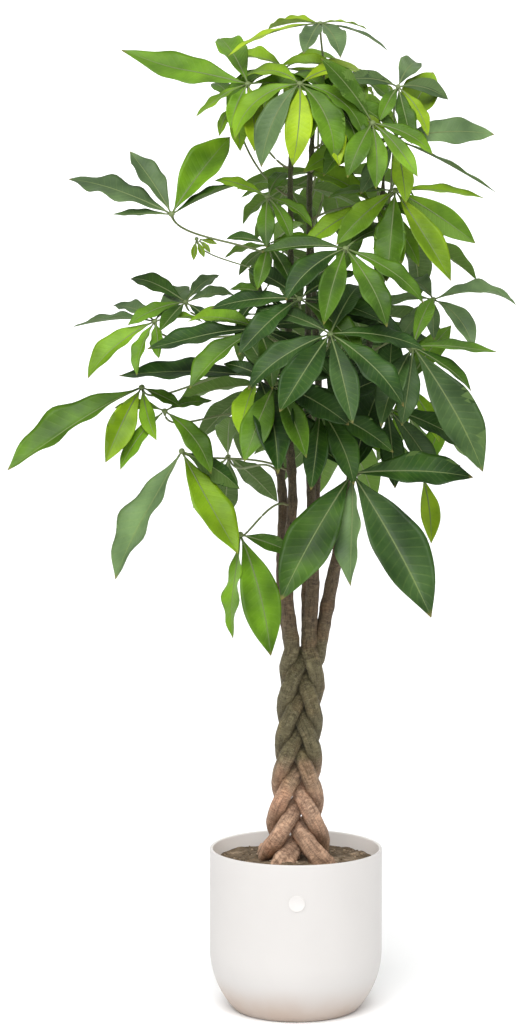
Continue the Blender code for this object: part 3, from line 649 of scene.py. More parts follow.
class Value:
    """A shader socket that takes part in Python expressions."""

    def __init__(self, paint, socket):
        self.paint = paint
        self.socket = socket

    def math(self, operation, *others, clamp=False):
        inputs = dict(enumerate((self, *others)))
        return self.paint.node("ShaderNodeMath", {"operation": operation, "use_clamp": clamp}, inputs)

    def reversed_math(self, operation, other):
        return self.paint.node("ShaderNodeMath", {"operation": operation}, {0: other, 1: self})

    def __add__(self, other):
        return self.math("ADD", other)

    __radd__ = __add__

    def __sub__(self, other):
        return self.math("SUBTRACT", other)

    def __rsub__(self, other):
        return self.reversed_math("SUBTRACT", other)

    def __mul__(self, other):
        return self.math("MULTIPLY", other)

    __rmul__ = __mul__

    def __truediv__(self, other):
        return self.math("DIVIDE", other)

    def __pow__(self, other):
        return self.math("POWER", other)

    def __abs__(self):
        return self.math("ABSOLUTE")

    def clipped(self):
        """The value kept between 0 and 1."""
        return self.math("ADD", 0, clamp=True)

    def fade(self, low, high):
        """Smoothly 0 below `low` and 1 above `high`."""
        return self.paint.node("ShaderNodeMapRange", {"interpolation_type": "SMOOTHSTEP"},
                               {"Value": self, "From Min": low, "From Max": high})


class Paint:
    """One node material, made round a Principled shader."""

    def __init__(self, name, constants=None):
        self.material = bpy.data.materials.new(name)
        self.material.use_nodes = True
        self.tree = self.material.node_tree
        self.shader = self.tree.nodes["Principled BSDF"]
        for socket, value in (constants or {}).items():
            self.shader.inputs[socket].default_value = value

    def node(self, kind, settings=None, inputs=None, output=0):
        """Add a node: its settings are set first, then its sockets' values and links."""
        made = self.tree.nodes.new(kind)
        for name, value in (settings or {}).items():
            if name == "stops":
                self.set_stops(made.color_ramp, value)
            else:
                setattr(made, name, value)
        for socket, value in (inputs or {}).items():
            self.feed(made.inputs[socket], value)
        return Value(self, made.outputs[output])

    def set_stops(self, ramp, stops):
        """Give a colour ramp its (position, colour) stops."""
        while len(ramp.elements) < len(stops):
            ramp.elements.new(1)
        for element, (position, colour) in zip(ramp.elements, stops):
            element.position = position
            element.color = (*colour, 1)

    def feed(self, socket, value):
        """Link or set one socket."""
        if isinstance(value, Value):
            self.tree.links.new(value.socket, socket)
        else:
            socket.default_value = value

    def place(self):
        """Object coordinates."""
        return self.node("ShaderNodeTexCoord", output="Object")

    def attribute(self, name, output="Fac"):
        """An attribute of the mesh."""
        return self.node("ShaderNodeAttribute", {"attribute_name": name}, output=output)

    def part(self, vector, axis):
        """One part of a vector."""
        return self.node("ShaderNodeSeparateXYZ", {}, {0: vector}, output=axis)

    def stretched(self, vector, scale):
        """A vector multiplied by a scale along each axis."""
        return self.node("ShaderNodeVectorMath", {"operation": "MULTIPLY"}, {0: vector, 1: scale})

    def cloud(self, vector, scale, detail=3.0, roughness=0.55):
        """Soft noise."""
        return self.node("ShaderNodeTexNoise", {},
                         {"Vector": vector, "Scale": scale, "Detail": detail, "Roughness": roughness})

    def spots(self, vector, scale):
        """Distance to the nearest of many scattered points."""
        return self.node("ShaderNodeTexVoronoi", {}, {"Vector": vector, "Scale": scale})

    def ramp(self, factor, stops):
        """A colour read off a ramp."""
        return self.node("ShaderNodeValToRGB", {"stops": stops}, {"Fac": factor})

    def blend(self, factor, one, other, kind="MIX"):
        """Two colours mixed."""
        inputs = {0: factor, 6: rgba(one), 7: rgba(other)}
        return self.node("ShaderNodeMix", {"data_type": "RGBA", "blend_type": kind}, inputs, output=2)

    def finish(self, colour, roughness, height=None, strength=1.0, distance=0.001):
        """Feed the shader's colour, roughness and bump, and return the material."""
        self.feed(self.shader.inputs["Base Color"], rgba(colour))
        self.feed(self.shader.inputs["Roughness"], roughness)
        if height is not None:
            bump = self.node("ShaderNodeBump", {},
                             {"Strength": strength, "Distance": distance, "Height": height})
            self.feed(self.shader.inputs["Normal"], bump)
        return self.material


def rgba(colour):
    """A colour with its alpha, or a link as it is."""
    return colour if isinstance(colour, Value) else (*colour, 1)


def shaded(colour, factor):
    """A colour made darker or lighter."""
    return tuple(min(part * factor, 1) for part in colour)


def pot_paint(settings):
    """Matt cast planter with a faint grain, a painted warm floor reflection at its foot and painted light on
    its inner wall.
    """
    paint = Paint("matt_planter", {"Specular IOR Level": 0.4})
    place = paint.place()
    height, east, north = paint.part(place, "Z"), paint.part(place, "X"), paint.part(place, "Y")
    # Painted light: the inner wall above the soil is painted lighter, as if lit from above
    inside = 1 - ((east ** 2 + north ** 2) ** 0.5).fade(POT_RADIUS - settings.wall, POT_RADIUS - 0.001)
    inside = inside * height.fade(0.10, 0.16)
    patches = paint.cloud(place, 14)
    grain = paint.cloud(place, 900, detail=2)
    # Painted reflection: the foot is painted warmer, as if it caught the glow of a warm floor
    foot = 1 - (height + patches * 0.012).fade(0.012, 0.062)
    colour = paint.blend(foot, settings.colour, settings.painted_floor_reflection_colour)
    colour = paint.blend(patches.fade(0.35, 0.75) * 0.35, colour, shaded(settings.colour, 0.95))
    colour = paint.blend(inside, colour, shaded(settings.colour, 1.60))
    return paint.finish(colour, 0.48 + patches * 0.12, grain * 0.6 + patches, 0.25, 0.0004)


def button_paint(settings):
    """Slightly glossier version of the planter's finish, painted lighter as a painted highlight on the raised
    button.
    """
    paint = Paint("planter_button", {"Specular IOR Level": 0.5})
    patches = paint.cloud(paint.place(), 120)
    # Painted highlight: the button is painted lighter than the planter
    colour = paint.blend(patches, shaded(settings.colour, 1.16), shaded(settings.colour, 1.06))
    return paint.finish(colour, 0.30 + patches * 0.1, patches, 0.2, 0.0003)


def soil_paint(settings):
    """Damp, crumbly soil with dry fibres."""
    paint = Paint("potting_soil", {"Specular IOR Level": 0.25})
    place = paint.place()
    tone = paint.attribute("tone")
    lumps = paint.cloud(place, 90, detail=6, roughness=0.7)
    grit = paint.cloud(place, 420, detail=4, roughness=0.7)
    fibres = paint.cloud(paint.stretched(place, (1.0, 3.5, 1.0)), 150, detail=3).fade(0.60, 0.72)
    damp = paint.blend(lumps.fade(0.35, 0.65), shaded(settings.colour, 0.45), settings.colour)
    dry = paint.blend(grit.fade(0.3, 0.7), shaded(settings.fibre_colour, 0.55), settings.fibre_colour)
    pale = paint.cloud(place, 28, detail=3).fade(0.50, 0.66) * 0.75
    colour = paint.blend((fibres * 0.55 + tone + pale).clipped(), damp, dry)
    return paint.finish(colour, 0.85 + grit * 0.12, lumps + grit * 0.5, 0.9, 0.0022)


def bark_paint(settings):
    """Bark in long fibres with cross cracks and pale pores, greener towards the shoots."""
    paint = Paint("bark", {"Specular IOR Level": 0.3})
    grain = paint.attribute("grain", "Vector")
    height = paint.part(paint.place(), "Z")
    patches = paint.cloud(grain, 42, detail=4)
    fibres = paint.cloud(paint.stretched(grain, (1.0, 1.0, 0.10)), 520, detail=4, roughness=0.65)
    cracks = paint.cloud(paint.stretched(grain, (1.0, 1.0, 4.0)), 95, detail=5, roughness=0.7)
    crack = 1 - abs(cracks - 0.5).fade(0.0, 0.055)
    pores = 1 - paint.spots(paint.stretched(grain, (1.0, 1.0, 2.2)), 260).fade(0.10, 0.24)
    along = ((height + patches * 0.06 - 0.03) / 1.25).clipped()
    stops = ((0.155, settings.root_colour), (0.228, shaded(settings.root_colour, 0.95)),
             (0.272, settings.braid_colour), (0.37, shaded(settings.braid_colour, 1.10)),
             (0.41, settings.stem_colour), (0.50, shaded(settings.stem_colour, 0.75)),
             (0.66, shaded(settings.shoot_colour, 0.62)), (0.92, settings.shoot_colour))
    colour = paint.ramp(along, stops)
    warmth = paint.cloud(grain, 26, detail=3)
    colour = paint.blend(warmth.fade(0.50, 0.68) * 0.4, colour, (1.25, 0.94, 0.82), "MULTIPLY")
    colour = paint.blend(fibres.fade(0.35, 0.7) * 0.6, colour, (1.35, 1.30, 1.25), "MULTIPLY")
    colour = paint.blend((1 - fibres.fade(0.30, 0.52)) * 0.70, colour, (0.45, 0.42, 0.40), "MULTIPLY")
    colour = paint.blend(crack * 0.60, colour, (0.35, 0.30, 0.27), "MULTIPLY")
    # Painted highlights: pale patches painted over the bark
    colour = paint.blend(patches.fade(0.52, 0.72) * 0.4, colour, (1.5, 1.38, 1.28), "MULTIPLY")
    colour = paint.blend(pores * 0.45, colour, (0.42, 0.34, 0.25))
    relief = fibres * 0.8 - crack * 0.8 + pores * 0.5 + patches
    return paint.finish(colour, 0.62 + patches * 0.25, relief, 0.75, 0.0012)


def blade_pattern(paint):
    """The veins of a blade: midrib and side veins, each 0 to 1, and the swell between them."""
    uv = paint.node("ShaderNodeUVMap", {"uv_map": "blade"})
    along = paint.part(uv, "Y")
    side = abs(paint.part(uv, "X") - 0.5) * 2
    midrib = 1 - side.fade(0.012, 0.060)
    beat = abs(((along - side * 0.105) * SIDE_VEINS).math("FRACT") - 0.5) * 2
    vein = beat.fade(0.72, 1.0) * (1 - side.fade(0.65, 1.0))
    swell = 1 - beat ** 2.5
    return along, side, midrib, vein, swell


def leaf_colour(paint, settings, tone):
    """Green read off the leaf's tone: painted sheen, painted shade, green, painted light shining through."""
    stops = ((0.0, settings.painted_sheen_green), (0.30, shaded(settings.painted_sheen_green, 0.62)),
             (0.50, settings.painted_shade_green), (0.74, settings.green), (1.0, settings.bright))
    return paint.ramp(tone, stops)


def leaf_upper_paint(settings):
    """Glossy upper side with pale veins."""
    paint = Paint("leaf_upper", {"Specular IOR Level": 0.20})
    place = paint.place()
    along, side, midrib, vein, swell = blade_pattern(paint)
    patches = paint.cloud(place, 22, detail=3)
    fine = paint.cloud(place, 260, detail=3)
    tone = ((paint.attribute("tone") + 1) / 2 + (patches - 0.5) * 0.16).clipped()
    colour = leaf_colour(paint, settings, tone)
    colour = paint.blend(fine.fade(0.45, 0.75) * 0.22, colour, (0.60, 0.66, 0.55), "MULTIPLY")
    # Painted highlight: the edges of the upper side are painted lighter
    colour = paint.blend(side.fade(0.80, 1.0) * 0.30, colour, (1.30, 1.22, 0.95), "MULTIPLY")
    colour = paint.blend((vein * 0.07 + midrib * 0.30).clipped(), colour, (0.24, 0.34, 0.09))
    # Painted light and shade: broad patches painted lighter and darker over the upper side
    light = paint.ramp(paint.cloud(place, 17, detail=2),
                       ((0.34, (0.50, 0.54, 0.45)), (0.66, (1.46, 1.40, 1.15))))
    colour = paint.blend(0.85, colour, light, "MULTIPLY")
    # Painted shade: each blade is painted darker towards its base at the hub
    colour = paint.blend((1 - along.fade(0.0, 0.32)) * 0.45, colour, (0.50, 0.54, 0.45), "MULTIPLY")
    colour = paint.blend((along + (fine - 0.5) * 0.05).fade(0.955, 0.995) * 0.6, colour, (0.22, 0.17, 0.05))
    relief = swell * 0.40 - midrib * 0.7 - vein * 0.15 + fine * 0.12
    return paint.finish(colour, 0.34 + patches * 0.22, relief, 0.45, 0.0006)


def leaf_under_paint(settings):
    """Paler, duller underside with standing veins."""
    paint = Paint("leaf_under", {"Specular IOR Level": 0.2})
    place = paint.place()
    along, side, midrib, vein, swell = blade_pattern(paint)
    patches = paint.cloud(place, 24, detail=3)
    tone = ((paint.attribute("tone") + 1) / 2 + (patches - 0.5) * 0.12).clipped()
    colour = paint.blend(0.35, leaf_colour(paint, settings, tone), (0.150, 0.235, 0.055))
    colour = paint.blend((vein * 0.12 + midrib * 0.4).clipped(), colour, (0.26, 0.34, 0.11))
    relief = vein * 0.5 + midrib - swell * 0.5
    return paint.finish(colour, 0.58 + patches * 0.15, relief, 0.5, 0.0007)


def stalk_paint(settings):
    """Green leaf stalks, browner where they are swollen."""
    paint = Paint("leaf_stalk", {"Specular IOR Level": 0.4})
    place = paint.place()
    patches = paint.cloud(place, 55, detail=3)
    fine = paint.cloud(place, 700, detail=2)
    tone = paint.attribute("tone")
    swollen = (tone + (patches - 0.5) * 0.4).clipped()
    colour = paint.blend(swollen, (0.150, 0.205, 0.070), (0.13, 0.105, 0.055))
    colour = paint.blend(fine * 0.3, colour, (0.55, 0.6, 0.5), "MULTIPLY")
    return paint.finish(colour, 0.42 + patches * 0.2, patches + fine * 0.4, 0.4, 0.0006)


def floor_paint(settings):
    """Plain pale floor."""
    paint = Paint("pale_floor", {"Specular IOR Level": 0.1})
    speckle = paint.cloud(paint.place(), 6, detail=2)
    colour = paint.blend(speckle, settings.floor_colour, shaded(settings.floor_colour, 0.985))
    return paint.finish(colour, 0.9)


# ---------------------------------------------------------------- meshes

def add_piece(name, bm, materials, node=None):
    """Turn a bmesh into a smooth piece of the tree that stands for a node of the frame."""
    mesh = bpy.data.meshes.new(name)
    bm.to_mesh(mesh)
    bm.free()
    mesh.shade_smooth()
    for material in materials:
        mesh.materials.append(material)
    piece = bpy.data.objects.new(name, mesh)
    bpy.context.scene.collection.objects.link(piece)
    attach(piece, "root")
    if node:
        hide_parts(node)
    return piece


def turned(profile, steps):
    """Spin a profile of (radius, height) points, which starts on the axis, about Z."""
    bm = bmesh.new()
    points = [bm.verts.new((radius, 0, height)) for radius, height in profile]
    edges = [bm.edges.new(pair) for pair in zip(points, points[1:])]
    bmesh.ops.spin(bm, geom=points + edges, cent=(0, 0, 0), axis=UP, angle=2 * math.pi,
                   steps=steps, use_merge=True)
    bmesh.ops.remove_doubles(bm, verts=bm.verts, dist=1e-6)
    bmesh.ops.recalc_face_normals(bm, faces=bm.faces)
    return bm


def pot_radius(height):
    """The planter's outer radius at a height."""
    below = max(BELLY_HEIGHT - height, 0)
    return POT_RADIUS - BELLY_RADIUS + math.sqrt(BELLY_RADIUS ** 2 - below ** 2)


def make_pot(settings):
    """The planter, with a rounded rim and a softened foot."""
    wall, floor = settings.wall, settings.floor
    foot = [(pot_radius(0) - 0.0012, 0), (pot_radius(0) - 0.0003, 0.0004)]
    outside = [(pot_radius(height), height) for height in heights(0.0012, BELLY_HEIGHT, 20)]
    outside += [(POT_RADIUS, height) for height in heights(BELLY_HEIGHT, POT_HEIGHT - wall / 2, 8)[1:-1]]
    turns = [math.pi * step / 10 for step in range(11)]
    half = wall / 2
    rim = [(POT_RADIUS - half + half * math.cos(turn), POT_HEIGHT - half + half * math.sin(turn))
           for turn in turns]
    inside = [(pot_radius(height) - wall, height) for height in heights(BELLY_HEIGHT, floor + 0.002, 14)]
    profile = [(0, 0), *foot, *outside, *rim, *inside, (inside[-1][0] - 0.004, floor), (0, floor)]
    add_piece("planter", turned(profile, 128), [pot_paint(settings)], "pot")


BUTTON_DEPTH = 0.0022
BUTTON_DISH = 0.0004        # how far the middle of the button lies below its edge
BUTTON_EDGE = 0.0003        # radius of the button's rounded edge
BUTTON_HEIGHT = 0.163


def make_button(settings):
    """A plain round button on the planter's front, a little proud of the wall."""
    bm = bmesh.new()
    bmesh.ops.create_cone(bm, cap_ends=True, segments=48, radius1=settings.button / 2,
                          radius2=settings.button / 2, depth=BUTTON_DEPTH)
    top = [face for face in bm.faces if face.normal.z > 0.9]
    bmesh.ops.inset_region(bm, faces=top, thickness=BUTTON_DEPTH / 2, depth=-BUTTON_DISH)
    edges = [edge for edge in bm.edges
             if all(abs(vert.co.z - BUTTON_DEPTH / 2) < 1e-5 for vert in edge.verts)]
    bmesh.ops.bevel(bm, geom=edges, offset=BUTTON_EDGE, offset_type="OFFSET", segments=3, profile=0.5,
                    affect="EDGES", material=-1)
    turn = Matrix.Rotation(math.pi / 2, 4, "X")
    centre = Vector((0.0, -POT_RADIUS + BUTTON_DISH, BUTTON_HEIGHT))
    bmesh.ops.transform(bm, matrix=Matrix.Translation(centre) @ turn, verts=bm.verts)
    bmesh.ops.recalc_face_normals(bm, faces=bm.faces)
    add_piece("planter_button", bm, [button_paint(settings)])


HEAP_WIDTH = 0.018          # reach and height of the soil heaped round each root
HEAP_HEIGHT = 0.0040
SOIL_WALL = 0.004           # thickness of the planter's wall round the soil
SOIL_GAP = 0.0006           # kept between the planter and the soil
SOIL_FLOOR = 0.0076


def soil_height(x, y, unevenness):
    """Height of the soil's surface: a low mound with lumps, heaped round the roots."""
    reach = math.hypot(x, y) / POT_RADIUS
    lumps = noise.fractal(Vector((x, y, 0)) * 55, 0.9, 2.1, 4)
    clods = noise.noise(Vector((x, y, 3)) * 24)
    heap = sum(math.exp(-((x - foot.x) ** 2 + (y - foot.y) ** 2) / HEAP_WIDTH ** 2)
               for foot in (braid_point(strand, SOIL_TOP) for strand in range(STRANDS)))
    level = SOIL_TOP + 0.0010 - 0.003 * reach ** 2 + HEAP_HEIGHT * min(heap, 1)
    return level + unevenness * (0.8 * lumps + 0.7 * clods)


def make_soil(settings):
    """The soil with its uneven surface and loose crumbs."""
    inner = [(pot_radius(height) - SOIL_WALL - SOIL_GAP, height)
             for height in heights(SOIL_FLOOR, BELLY_HEIGHT, 6)]
    edge = POT_RADIUS - SOIL_WALL - SOIL_GAP
    rings = [(edge * step / 44, SOIL_TOP) for step in range(44, -1, -1)]
    bm = turned([(0, inner[0][1]), *inner, *rings], 120)
    tone = bm.verts.layers.float.new("tone")
    for vert in bm.verts:
        if vert.co.z > SOIL_TOP - 0.001:
            vert.co.z = soil_height(vert.co.x, vert.co.y, settings.roughness)
    chance = random.Random(5)
    for crumb in range(settings.crumbs):
        reach = (edge - 0.004) * math.sqrt(chance.random())
        turn = chance.uniform(0, 2 * math.pi)
        size = chance.uniform(0.0010, 0.0036) * chance.uniform(0.6, 1.0)
        x, y = reach * math.cos(turn), reach * math.sin(turn)
        spot = Vector((x, y, soil_height(x, y, settings.roughness) + size * 0.25))
        shape = Matrix.Diagonal((1, chance.uniform(0.5, 1), chance.uniform(0.35, 0.8), 1))
        spin = Matrix.Rotation(chance.uniform(0, 6.28), 4, "Z")
        spin = spin @ Matrix.Rotation(chance.uniform(-0.6, 0.6), 4, "X")
        made = bmesh.ops.create_icosphere(bm, subdivisions=1, radius=size,
                                          matrix=Matrix.Translation(spot) @ spin @ shape)["verts"]
        dryness = chance.choice((0.0, 0.0, 0.15, 0.3, 0.8))
        for vert in made:
            vert[tone] = dryness
            vert.co += noise.noise_vector(vert.co * 900) * size * 0.25
    add_piece("potting_soil", bm, [soil_paint(settings)], "soil")


def tube(bm, sides, steps, place):
    """A closed tube; place(part, turn) puts the corner at a part of its length and a turn."""
    first = len(bm.verts)
    made = bmesh.ops.create_cone(bm, cap_ends=True, cap_tris=False, segments=sides,
                                 radius1=1, radius2=1, depth=1)["verts"]
    edges = {edge for vert in made for edge in vert.link_edges}
    upright = [edge for edge in edges if abs(edge.verts[0].co.z - edge.verts[1].co.z) > 0.5]
    bmesh.ops.subdivide_edges(bm, edges=upright, cuts=steps - 1)
    bm.verts.ensure_lookup_table()
    corners = bm.verts[first:]
    turns = [(vert, vert.co.z + 0.5, math.atan2(vert.co.y, vert.co.x)) for vert in corners]
    for vert, part, turn in turns:
        vert.co = place(part, turn)
    return turns


ROOT_SHOWN = 0.020          # how far below the soil's top a trunk's surface goes on
BUD_LENGTH = 0.024          # the pointed end of a stem
BARK_GIRTH = 0.009          # radius that the bark's pattern is wrapped round

# Height and radius of every trunk's surface
TRUNK_GIRTH = (
    (SOIL_TOP - ROOT_SHOWN, 0.0150),
    (SOIL_TOP + 0.004, 0.0135),
    (0.215, 0.0120),
    (0.250, 0.0108),
    (0.300, 0.0103),
    (0.470, 0.0100),
    (0.560, 0.0086),
    (0.600, 0.0074),
    (0.675, 0.0058),
    (0.900, 0.0040),
    (1.120, 0.0029),
    (1.240, 0.0021),
)


def knots(strand):
    """Heights of the swellings on a stem: its leaf joints and the scars of fallen leaves."""
    joints = [leaf.join for leaf in LEAVES if leaf.trunk == strand + 1]
    chance = random.Random(strand + 40)
    scars = []
    height = BRAID_TOP - 0.05
    while height < trunk_top(strand) - 0.03:
        scars.append(height)
        height += chance.uniform(0.022, 0.05)
    return joints + scars


def trunk_surface(strand, settings):
    """The function that puts the corners of a trunk's tube."""
    low, top = SOIL_TOP - ROOT_SHOWN, trunk_top(strand)
    swellings = knots(strand)
    shift = Vector((strand * 7.3, strand * 3.1, 0))

    def place(part, turn):
        height = low + (top - low) * part
        step = 0.003
        heading = (trunk_point(strand, height + step) - trunk_point(strand, height - step)).normalized()
        side = BACK.cross(heading).normalized()
        back = heading.cross(side)
        radius = read_table(TRUNK_GIRTH, height) * settings.girth
        spot = Vector((math.cos(turn), math.sin(turn), height * 60)) + shift
        radius *= 1 + settings.lumps * (noise.noise(spot * 0.8) + 0.5 * noise.noise(spot * 2.1))
        flare = math.exp(-max(height - SOIL_TOP, 0) / 0.012)
        radius *= 1 + 0.30 * flare * math.cos(3 * turn + strand * 2)
        knobs = math.exp(-max(height - SOIL_TOP, 0) / 0.030)
        radius *= 1 + 0.22 * knobs * noise.noise(spot * 2.6)
        radius += 0.0007 * sum(math.exp(-((height - knot) / 0.0040) ** 2) for knot in swellings)
        radius *= 0.30 + 0.70 * min((top - height) / BUD_LENGTH, 1) ** 0.8
        if part > 0.995:
            radius = STEM_TIP
        return trunk_point(strand, height) + (side * math.cos(turn) + back * math.sin(turn)) * radius

    return place


def make_trunk(strand, settings, material):
    """One trunk from below the soil to its tip."""
    bm = bmesh.new()
    grain = bm.verts.layers.float_vector.new("grain")
    low, top = SOIL_TOP - ROOT_SHOWN, trunk_top(strand)
    corners = tube(bm, 24, round((top - low) / 0.0045), trunk_surface(strand, settings))
    for vert, part, turn in corners:
        height = low + (top - low) * part
        vert[grain] = (BARK_GIRTH * math.cos(turn) + strand, BARK_GIRTH * math.sin(turn), height * 1.15)
    bmesh.ops.recalc_face_normals(bm, faces=bm.faces)
    add_piece(f"braided_trunk_{strand + 1}", bm, [material], f"trunk_{strand + 1}")


# How a blade differs from its neighbours: relative width, fold, height and phase of its edge's
# waves, sideways sweep, extra curl of its tip, and tone
Habit = namedtuple("Habit", "width fold wave phase sweep curl tone")

SIDE_VEINS = 17
BLADE_COLUMNS = 10
BLADE_ROWS = 24

# Tone of each leaf, and of the leaflets that differ: -1 painted sheen (grey green), 0 painted shade (dark),
# 0.5 green, 1 painted light shining through (bright)
TONES = {
    1: (0.62, {0: -0.3, 2: 0.8, 3: 0.92, 4: -0.55, 5: -0.6}),
    2: (0.40, {0: 0.3, 1: 0.9, 2: 0.58, 3: 0.45, 4: -0.75, 5: 0.85, 6: 0.2}),
    3: (0.50, {0: 0.36, 1: 0.5, 2: 0.38, 3: 0.8, 5: 0.3}), 4: (0.30, {0: 1.0, 1: 0.15, 2: 0.1, 3: 0.75}),
    5: (0.15, {0: -0.5, 1: -0.4, 2: -0.3, 4: 0.05, 5: 0.75}), 6: (0.5, {0: -0.85, 1: -0.4, 3: -0.35}),
    7: (0.42, {0: 0.6, 1: 0.45, 2: 0.75, 4: 0.6, 5: 0.2}), 8: (-0.5, {0: -0.9, 1: -0.65}),
    9: (-0.1, {0: 0.45, 1: 0.2, 2: -0.18, 5: 0.5}), 10: (0.10, {0: 0.06, 1: -0.09, 2: -0.7, 3: 0.10}),
    11: (0.36, {2: 0.1}), 12: (0.2, {0: -0.8, 1: 0.70}), 13: (0.42, {1: 0.72, 2: 0.58, 3: 0.2}),
    14: (0.55, {}), 15: (0.10, {0: 0.02, 1: 0.8}), 16: (0.60, {0: -0.4, 1: -0.5, 5: -0.55}),
    17: (0.25, {0: 0.68, 1: 0.02}), 18: (0.3, {0: -0.35, 1: -0.45, 2: 0.42, 3: 0.02, 4: -0.2}),
    19: (1.0, {}), 20: (0.35, {}), 21: (0.30, {}), 22: (0.2, {}), 23: (0.08, {}), 24: (0.12, {}),
    25: (0.20, {}), 26: (0.12, {1: 0.4}), 27: (0.02, {}), 28: (0.5, {0: 0.9}), 29: (0.6, {0: 0.85, 1: 0.8}),
    41: (0.42, {0: 0.6}), 42: (0.25, {0: 0.55, 4: 0.15, 5: 0.8}), 43: (0.22, {0: 0.1, 3: 0.4}),
    44: (0.40, {1: 0.5}), 45: (0.05, {}), 46: (0.12, {}), 47: (0.15, {0: -0.5, 1: -0.5}),
    48: (0.45, {0: 0.65}),
}
USUAL_TONE = (0.22, {})

# Leaflets of their own kind, by leaf and leaflet: relative width, curl of the tip and sideways sweep
SHAPES = {
    (1, 0): (0.7, 0.1, 0), (1, 1): (0.7, -0.1, 0), (1, 3): (0.75, 0, 0), (3, 0): (1.15, -0.85, -0.3),
    (5, 0): (1.15, 0.1, 0), (6, 1): (0.6, -0.1, 0), (9, 2): (1.10, 0.25, 0), (10, 0): (1.10, 0.1, 0),
    (10, 1): (1.15, 0.1, 0), (10, 3): (1.15, 0.1, 0), (13, 0): (1.0, -0.2, 0.1),
    (15, 0): (0.95, -0.05, 0), (18, 2): (1.25, 0, 0),
}

# Painted shade: where the crown is thickest its leaves are painted darker
PAINTED_SHADE_CORE = Vector((0.055, 0.0, 0.840))
PAINTED_SHADE_REACH = (0.150, 0.140)  # sideways and upward

# Painted light: near the top the leaves are painted brighter
PAINTED_TOP_LIGHT_FROM = 0.95
PAINTED_TOP_LIGHT_LIFT = 0.10


def blade_outline(along):
    """A blade's width over its full width: a wedge at the base, widest beyond its middle."""
    inner = min(max(along, 0.0), 1.0)
    return max(math.sin(math.pi * inner ** 1.24) ** 0.98, 0.045 if inner < 0.5 else 0.018)


def blade_point(leaflet, habit, along, across):
    """A point of a blade's middle surface; across runs from -1 to 1."""
    middle, side, face = leaflet.frame(along)
    half = leaflet.length * BLADE_SLENDERNESS * habit.width / 2 * blade_outline(along)
    ripple = math.sin(2 * math.pi * (along * 3.2 + habit.phase) + (1.1 if across > 0 else 0))
    lift = half * abs(across) ** 1.3 * habit.fold
    lift += half * across ** 2 * habit.wave * ripple
    lift -= leaflet.length * habit.curl * max(along - 0.55, 0) ** 2
    sweep = leaflet.length * habit.sweep * along ** 2
    return middle + side * (across * half + sweep) + face * lift


def painted_crown_shade_and_light(tone, point):
    """A leaflet's tone at a point: painted shade in the thick of the crown, painted light near the top."""
    across, up = PAINTED_SHADE_REACH
    away = point - PAINTED_SHADE_CORE
    # Painted shade: depth darkens the tone towards the thick of the crown
    depth = math.exp(-(away.x / across) ** 2 - (away.z / up) ** 2 - max(-away.y - 0.06, 0) / 0.10)
    # Painted light: the tone is lifted near the top of the crown
    painted_top_light = PAINTED_TOP_LIGHT_LIFT * min(max((point.z - PAINTED_TOP_LIGHT_FROM) / 0.15, 0), 1)
    return max(tone + painted_top_light * (tone > 0) - 0.50 * depth, min(tone, 0))


def turn_outwards(bm, faces):
    """Make all the faces of one thin closed shell, its rim too, point out of it."""
    bmesh.ops.recalc_face_normals(bm, faces=faces)
    for face in faces:
        face.normal_update()
    middle = faces[0].calc_center_median()
    volume = sum((face.calc_center_median() - middle).dot(face.normal) * face.calc_area() for face in faces)
    if volume < 0:
        bmesh.ops.reverse_faces(bm, faces=faces)


def add_blade(bm, layers, leaflet, habit, settings):
    """One blade as a thin closed shell, and the midrib under it."""
    uv, tone = layers
    made = bmesh.ops.create_grid(bm, x_segments=BLADE_COLUMNS, y_segments=BLADE_ROWS, size=0.5)["verts"]
    faces = list({face for vert in made for face in vert.link_faces})
    for face in faces:
        for loop in face.loops:
            loop[uv].uv = (loop.vert.co.x + 0.5, loop.vert.co.y + 0.5)
    for vert in made:
        along, across = vert.co.y + 0.5, vert.co.x * 2
        vert.co = blade_point(leaflet, habit, along, across)
    copied = bmesh.ops.solidify(bm, geom=faces, thickness=settings.thickness)["geom"]
    faces += [part for part in copied if isinstance(part, bmesh.types.BMFace)]
    turn_outwards(bm, list({near for face in faces for vert in face.verts for near in vert.link_faces}))
    upward = leaflet.frame(0.5)[2]
    for face in faces:
        face.material_index = 0 if face.normal.dot(upward) > 0 else 1
        for vert in face.verts:
            vert[tone] = painted_crown_shade_and_light(habit.tone, vert.co)

    def rib(part, turn):
        along = part * 0.97
        middle, side, face = leaflet.frame(along)
        centre = blade_point(leaflet, habit, along, 0)
        radius = 0.0011 * (1 - part) ** 0.7 + 0.00012
        return centre + (side * math.cos(turn) + face * (math.sin(turn) - 0.25)) * radius

    for vert, part, turn in tube(bm, 6, 14, rib):
        vert[tone] = 0.1
        for face in vert.link_faces:
            face.material_index = 2


